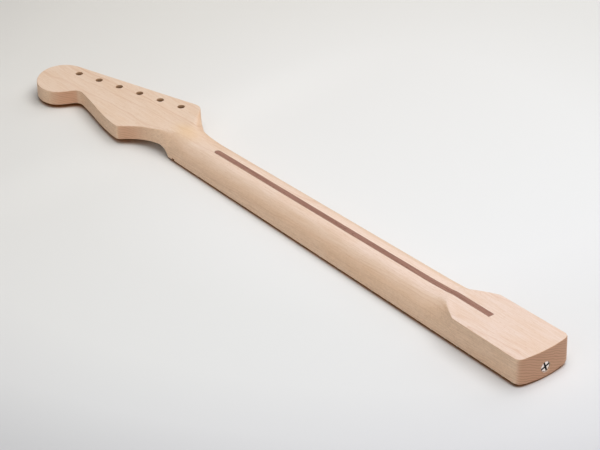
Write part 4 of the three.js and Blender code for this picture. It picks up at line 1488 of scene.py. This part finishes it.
def make_truss_nut(plated):
    """Slotted barrel nut with its thread's bore"""
    rim = TRUSS_NUT_RADIUS - TRUSS_NUT_CHAMFER
    profile = [
        (rim, 0), (TRUSS_NUT_RADIUS, TRUSS_NUT_CHAMFER),
        (TRUSS_NUT_RADIUS, TRUSS_NUT_LENGTH - TRUSS_NUT_CHAMFER), (rim, TRUSS_NUT_LENGTH),
        (ROD_HOLE_RADIUS, TRUSS_NUT_LENGTH),
        (ROD_HOLE_RADIUS, TRUSS_SLOT_DEPTH + TRUSS_NUT_WALL),
    ]
    nut = turned("slotted_truss_nut", profile, NUT_FACE, TOWARDS_NUT, TRUSS_NUT_SIDES)
    corner = np.array((TRUSS_SLOT_DEPTH, TRUSS_SLOT_WIDTH / 2, TRUSS_NUT_RADIUS * SLOT_CUTTER_SHARE))
    for quarter in (0, math.pi / 2):
        slot = box("slot", -corner, corner)
        centre = Matrix.Translation(place(NUT_FACE))
        turn = Matrix.Rotation(TRUSS_NUT_TURN + quarter, 4, "X")
        slot.data.transform(centre @ turn @ Matrix.Translation(place((0, 0, 0))).inverted())
        cut(nut, slot)
    edge = nut.modifiers.new("deburr", "BEVEL")
    edge.width = SLOT_EDGE_EASE * MM
    edge.segments = SLOT_EDGE_SEGMENTS
    edge.angle_limit = SLOT_EDGE_ANGLE
    apply_modifiers(nut)
    return finish_mesh(nut, plated)


def make_sleeve(name, radius, length, start, direction, steel):
    """Round piece with the rod's hole through it"""
    section = [(ROD_HOLE_RADIUS, 0), (radius, 0), (radius, length), (ROD_HOLE_RADIUS, length)]
    return finish_mesh(turned(name, section, start, direction, SLEEVE_SIDES, closed=True), steel)


def make_rod(steel):
    line = np.concatenate([
        [(ROD_END_X, 0, ROD_HEEL_HEIGHT)], rod_bend(), [on_head_line(ANCHOR_X - ANCHOR_LENGTH)],
    ])
    rings = []
    for i, point in enumerate(line):
        along = line[min(i + 1, len(line) - 1)] - line[max(i - 1, 0)]
        rings.append(circle(point, along, ROD_RADIUS, ROD_SIDES))
    return finish_mesh(loft("bent_truss_rod", rings), steel)


# Surroundings

PAPER_ROUGHNESS = 0.9
PAPER_SHINE = 0.1
# Painted light falloff: the paper is painted a little darker away from its middle, and sooner towards the
# camera
FLOOR_CENTRE = (-0.25, 0.12)
FLOOR_REACH = (0.6, 0.45)
FLOOR_BACK_SHARE = 0.5
FLOOR_FALLOFF_TONES = ((0.3, "#ececec"), (0.5, "#e7e7e6"), (0.7, "#e5e5e4"), (0.85, "#dedede"), (1, "#cdcdce"))
# Painted light colour: the paper is painted warmer to the left and the back, and cooler to the right and the
# front
FLOOR_WARM_WAY = (-5.1, 4.5, 0)
FLOOR_WARM_REACH = (-4.5, 7.6)
FLOOR_LIGHT_TINTS = ((0, "#fcfcff"), (0.28, "#fcfcfc"), (1, "#fcf8f2"))
# Painted contact shadow and painted bounce light: in the narrow gaps under the neck the paper is painted the
# wood's brown, so the contact line reads dark
CONTACT_SHADE_BROWN = "#cd9058"
CONTACT_SHADE_REACH = 11
CONTACT_SHADE_OPENNESS = (0.62, 0.2)
CONTACT_SHADE_SAMPLES = 16
# It also lifts off the table a little under the headstock, which keeps the shadow there tight
LIFT_HEIGHT = 7.5
LIFT_START = NUT_X - 5
LIFT_FULL = NUT_X - 77
LIFT_END = (HEAD_TIP_X - 20, HEAD_TIP_X - 320)
LIFT_HALF_WIDTHS = (75, 330)
SHEET_REACH = 6000
SHEET_STEP = 12

# Softboxes: name, place, width and power, in metres and watts, all turned to the target
LAMPS = (
    ("overhead_softbox", (0.2, 0.25, 1.9), 2.4, 40.3),
    ("back_softbox", (-0.8, 1.3, 1.7), 2, 8.9),
    ("front_softbox", (0.2, -1.3, 1.7), 2, 7.7),
    ("low_back_softbox", (-0.3, 2.2, 1), 1.4, 6.7),
    ("low_side_softbox", (0.6, -2.2, 1.1), 1.4, 3.7),
)
LAMP_TARGET = (-0.2, 0, 0)
WORLD_TONE = "#f4f4f4"
WORLD_STRENGTH = 0.03


def make_floor():
    def places(low, high):
        return np.concatenate([[-SHEET_REACH], np.arange(low, high, SHEET_STEP), [SHEET_REACH]])

    x, y = np.meshgrid(
        places(LIFT_END[1], LIFT_START + SHEET_STEP),
        places(-LIFT_HALF_WIDTHS[1], LIFT_HALF_WIDTHS[1] + SHEET_STEP),
        indexing="ij",
    )
    along = smooth(-x, -LIFT_START, -LIFT_FULL) * (1 - smooth(-x, -LIFT_END[0], -LIFT_END[1]))
    lift = LIFT_HEIGHT * along * (1 - smooth(np.abs(y), *LIFT_HALF_WIDTHS))
    points = place(np.stack([x, y, lift], -1).reshape(-1, 3))
    points[:, 2] += cad_box[0][2] - place((0, 0, 0))[2]
    index = np.arange(x.size).reshape(x.shape)
    corners = (index[:-1, :-1], index[1:, :-1], index[1:, 1:], index[:-1, 1:])
    floor = new_object("floor", points, np.stack(corners, -1).reshape(-1, 4))
    floor.data.shade_smooth()
    return floor


def white_paper():
    """Matt white paper: soft, with almost no shine, and painted light in its colour: painted falloff, painted
    warm and cool light, and painted contact shadow under the neck
    """
    material, tree, surface = new_material("matt_white_paper")
    spread = add(tree, "ShaderNodeMapping", {
        0: add(tree, "ShaderNodeTexCoord").outputs["Object"], "Location": (*FLOOR_CENTRE, 0),
        "Rotation": (0, 0, CAMERA_AZIMUTH), "Scale": (*FLOOR_REACH, 1),
    }, vector_type="TEXTURE")
    beside, behind, _ = add(tree, "ShaderNodeSeparateXYZ", {0: spread}).outputs
    in_front = add(tree, "ShaderNodeMath", {0: behind, 1: -1.0}, operation="MULTIPLY")
    behind = add(tree, "ShaderNodeMath", {0: behind, 1: FLOOR_BACK_SHARE}, operation="MULTIPLY")
    along = add(tree, "ShaderNodeMath", {0: in_front, 1: behind}, operation="MAXIMUM")
    distance = add(tree, "ShaderNodeVectorMath", {
        0: add(tree, "ShaderNodeCombineXYZ", {0: beside, 1: along}),
    }, operation="LENGTH").outputs["Value"]
    # Painted warm and cool light across the paper
    warmth = add(tree, "ShaderNodeMapRange", {
        "Value": add(tree, "ShaderNodeVectorMath", {0: spread, 1: FLOOR_WARM_WAY}, operation="DOT_PRODUCT"),
        "From Min": FLOOR_WARM_REACH[0], "From Max": FLOOR_WARM_REACH[1],
    })
    # Painted contact shadow and bounce light from the wood, where the paper lies close under the neck
    openness = add(tree, "ShaderNodeAmbientOcclusion", {
        "Distance": CONTACT_SHADE_REACH * MM,
    }, samples=CONTACT_SHADE_SAMPLES).outputs["AO"]
    contact_shade = add(tree, "ShaderNodeMapRange", {
        "Value": openness, "From Min": CONTACT_SHADE_OPENNESS[0], "From Max": CONTACT_SHADE_OPENNESS[1],
    })
    # Painted light falloff over the paper, then painted warm and cool light
    paper = graded(add(tree, "ShaderNodeValToRGB", {0: distance}), FLOOR_FALLOFF_TONES)
    tint = graded(add(tree, "ShaderNodeValToRGB", {0: warmth}), FLOOR_LIGHT_TINTS)
    for share, shade in ((1.0, tint), (contact_shade, colour(CONTACT_SHADE_BROWN))):
        paper = add(tree, "ShaderNodeMix", {
            0: share, 6: paper, 7: shade,
        }, data_type="RGBA", blend_type="MULTIPLY").outputs[2]
    feed(tree, surface, {
        "Base Color": paper, "Roughness": PAPER_ROUGHNESS, "Specular IOR Level": PAPER_SHINE,
    })
    return material


def make_surroundings():
    floor = make_floor()
    floor.data.materials.append(white_paper())
    world = bpy.data.worlds.new("studio")
    world.use_nodes = True
    bpy.context.scene.world = world
    feed(world.node_tree, world.node_tree.nodes["Background"], {
        "Color": colour(WORLD_TONE), "Strength": WORLD_STRENGTH,
    })


def make_lights():
    for name, position, width, power in LAMPS:
        data = bpy.data.lights.new(name, "AREA")
        data.shape = "DISK"
        data.size = width
        data.energy = power
        light = linked(name, data)
        light.location = position
        light.rotation_euler = (Vector(position) - Vector(LAMP_TARGET)).to_track_quat("Z", "Y").to_euler()


def main():
    bpy.context.scene.view_settings.view_transform = "Standard"
    make_camera()
    make_surroundings()
    make_lights()
    wood, walnut, plastic = bare_maple(), bare_walnut(), black_plastic()
    nickel, steel = metal(**FRET_WIRE), metal(**TURNED_STEEL)
    body, stripe, plug, frets, face_dots, side_dots = make_neck(wood, walnut, plastic, nickel)
    nut = make_truss_nut(plated_steel())
    washer = make_sleeve("thrust_washer", TRUSS_NUT_RADIUS, WASHER_THICKNESS, WASHER_FACE, TOWARDS_NUT, steel)
    anchor_face = on_head_line(ANCHOR_X)
    anchor = make_sleeve("round_anchor", ANCHOR_RADIUS, ANCHOR_LENGTH, anchor_face, TOWARDS_HEAD, steel)
    rod = make_rod(steel)
    names = sorted(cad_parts)
    table = [
        (body, "maple", "neck", ["neck_blank"]),
        (stripe, "walnut", "neck", ["back_stripe"]),
        (plug, "walnut", "neck", ["head_plug"]),
        (frets, "nickel_silver", "neck", [name for name in names if name.startswith("fret_")]),
        (face_dots, "black_plastic", "neck", [name for name in names if name.startswith("face_dot_")]),
        (side_dots, "black_plastic", "neck", [name for name in names if name.startswith("side_dot_")]),
        (rod, "steel", "neck", ["truss_rod"]),
        (washer, "steel", "neck", ["rod_washer"]),
        (anchor, "steel", "neck", ["rod_anchor"]),
        (nut, "steel", "truss_nut", ["truss_rod_nut"]),
    ]
    for piece, slot, rides_on, nodes in table:
        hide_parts(*nodes)
        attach(piece, rides_on)


main()
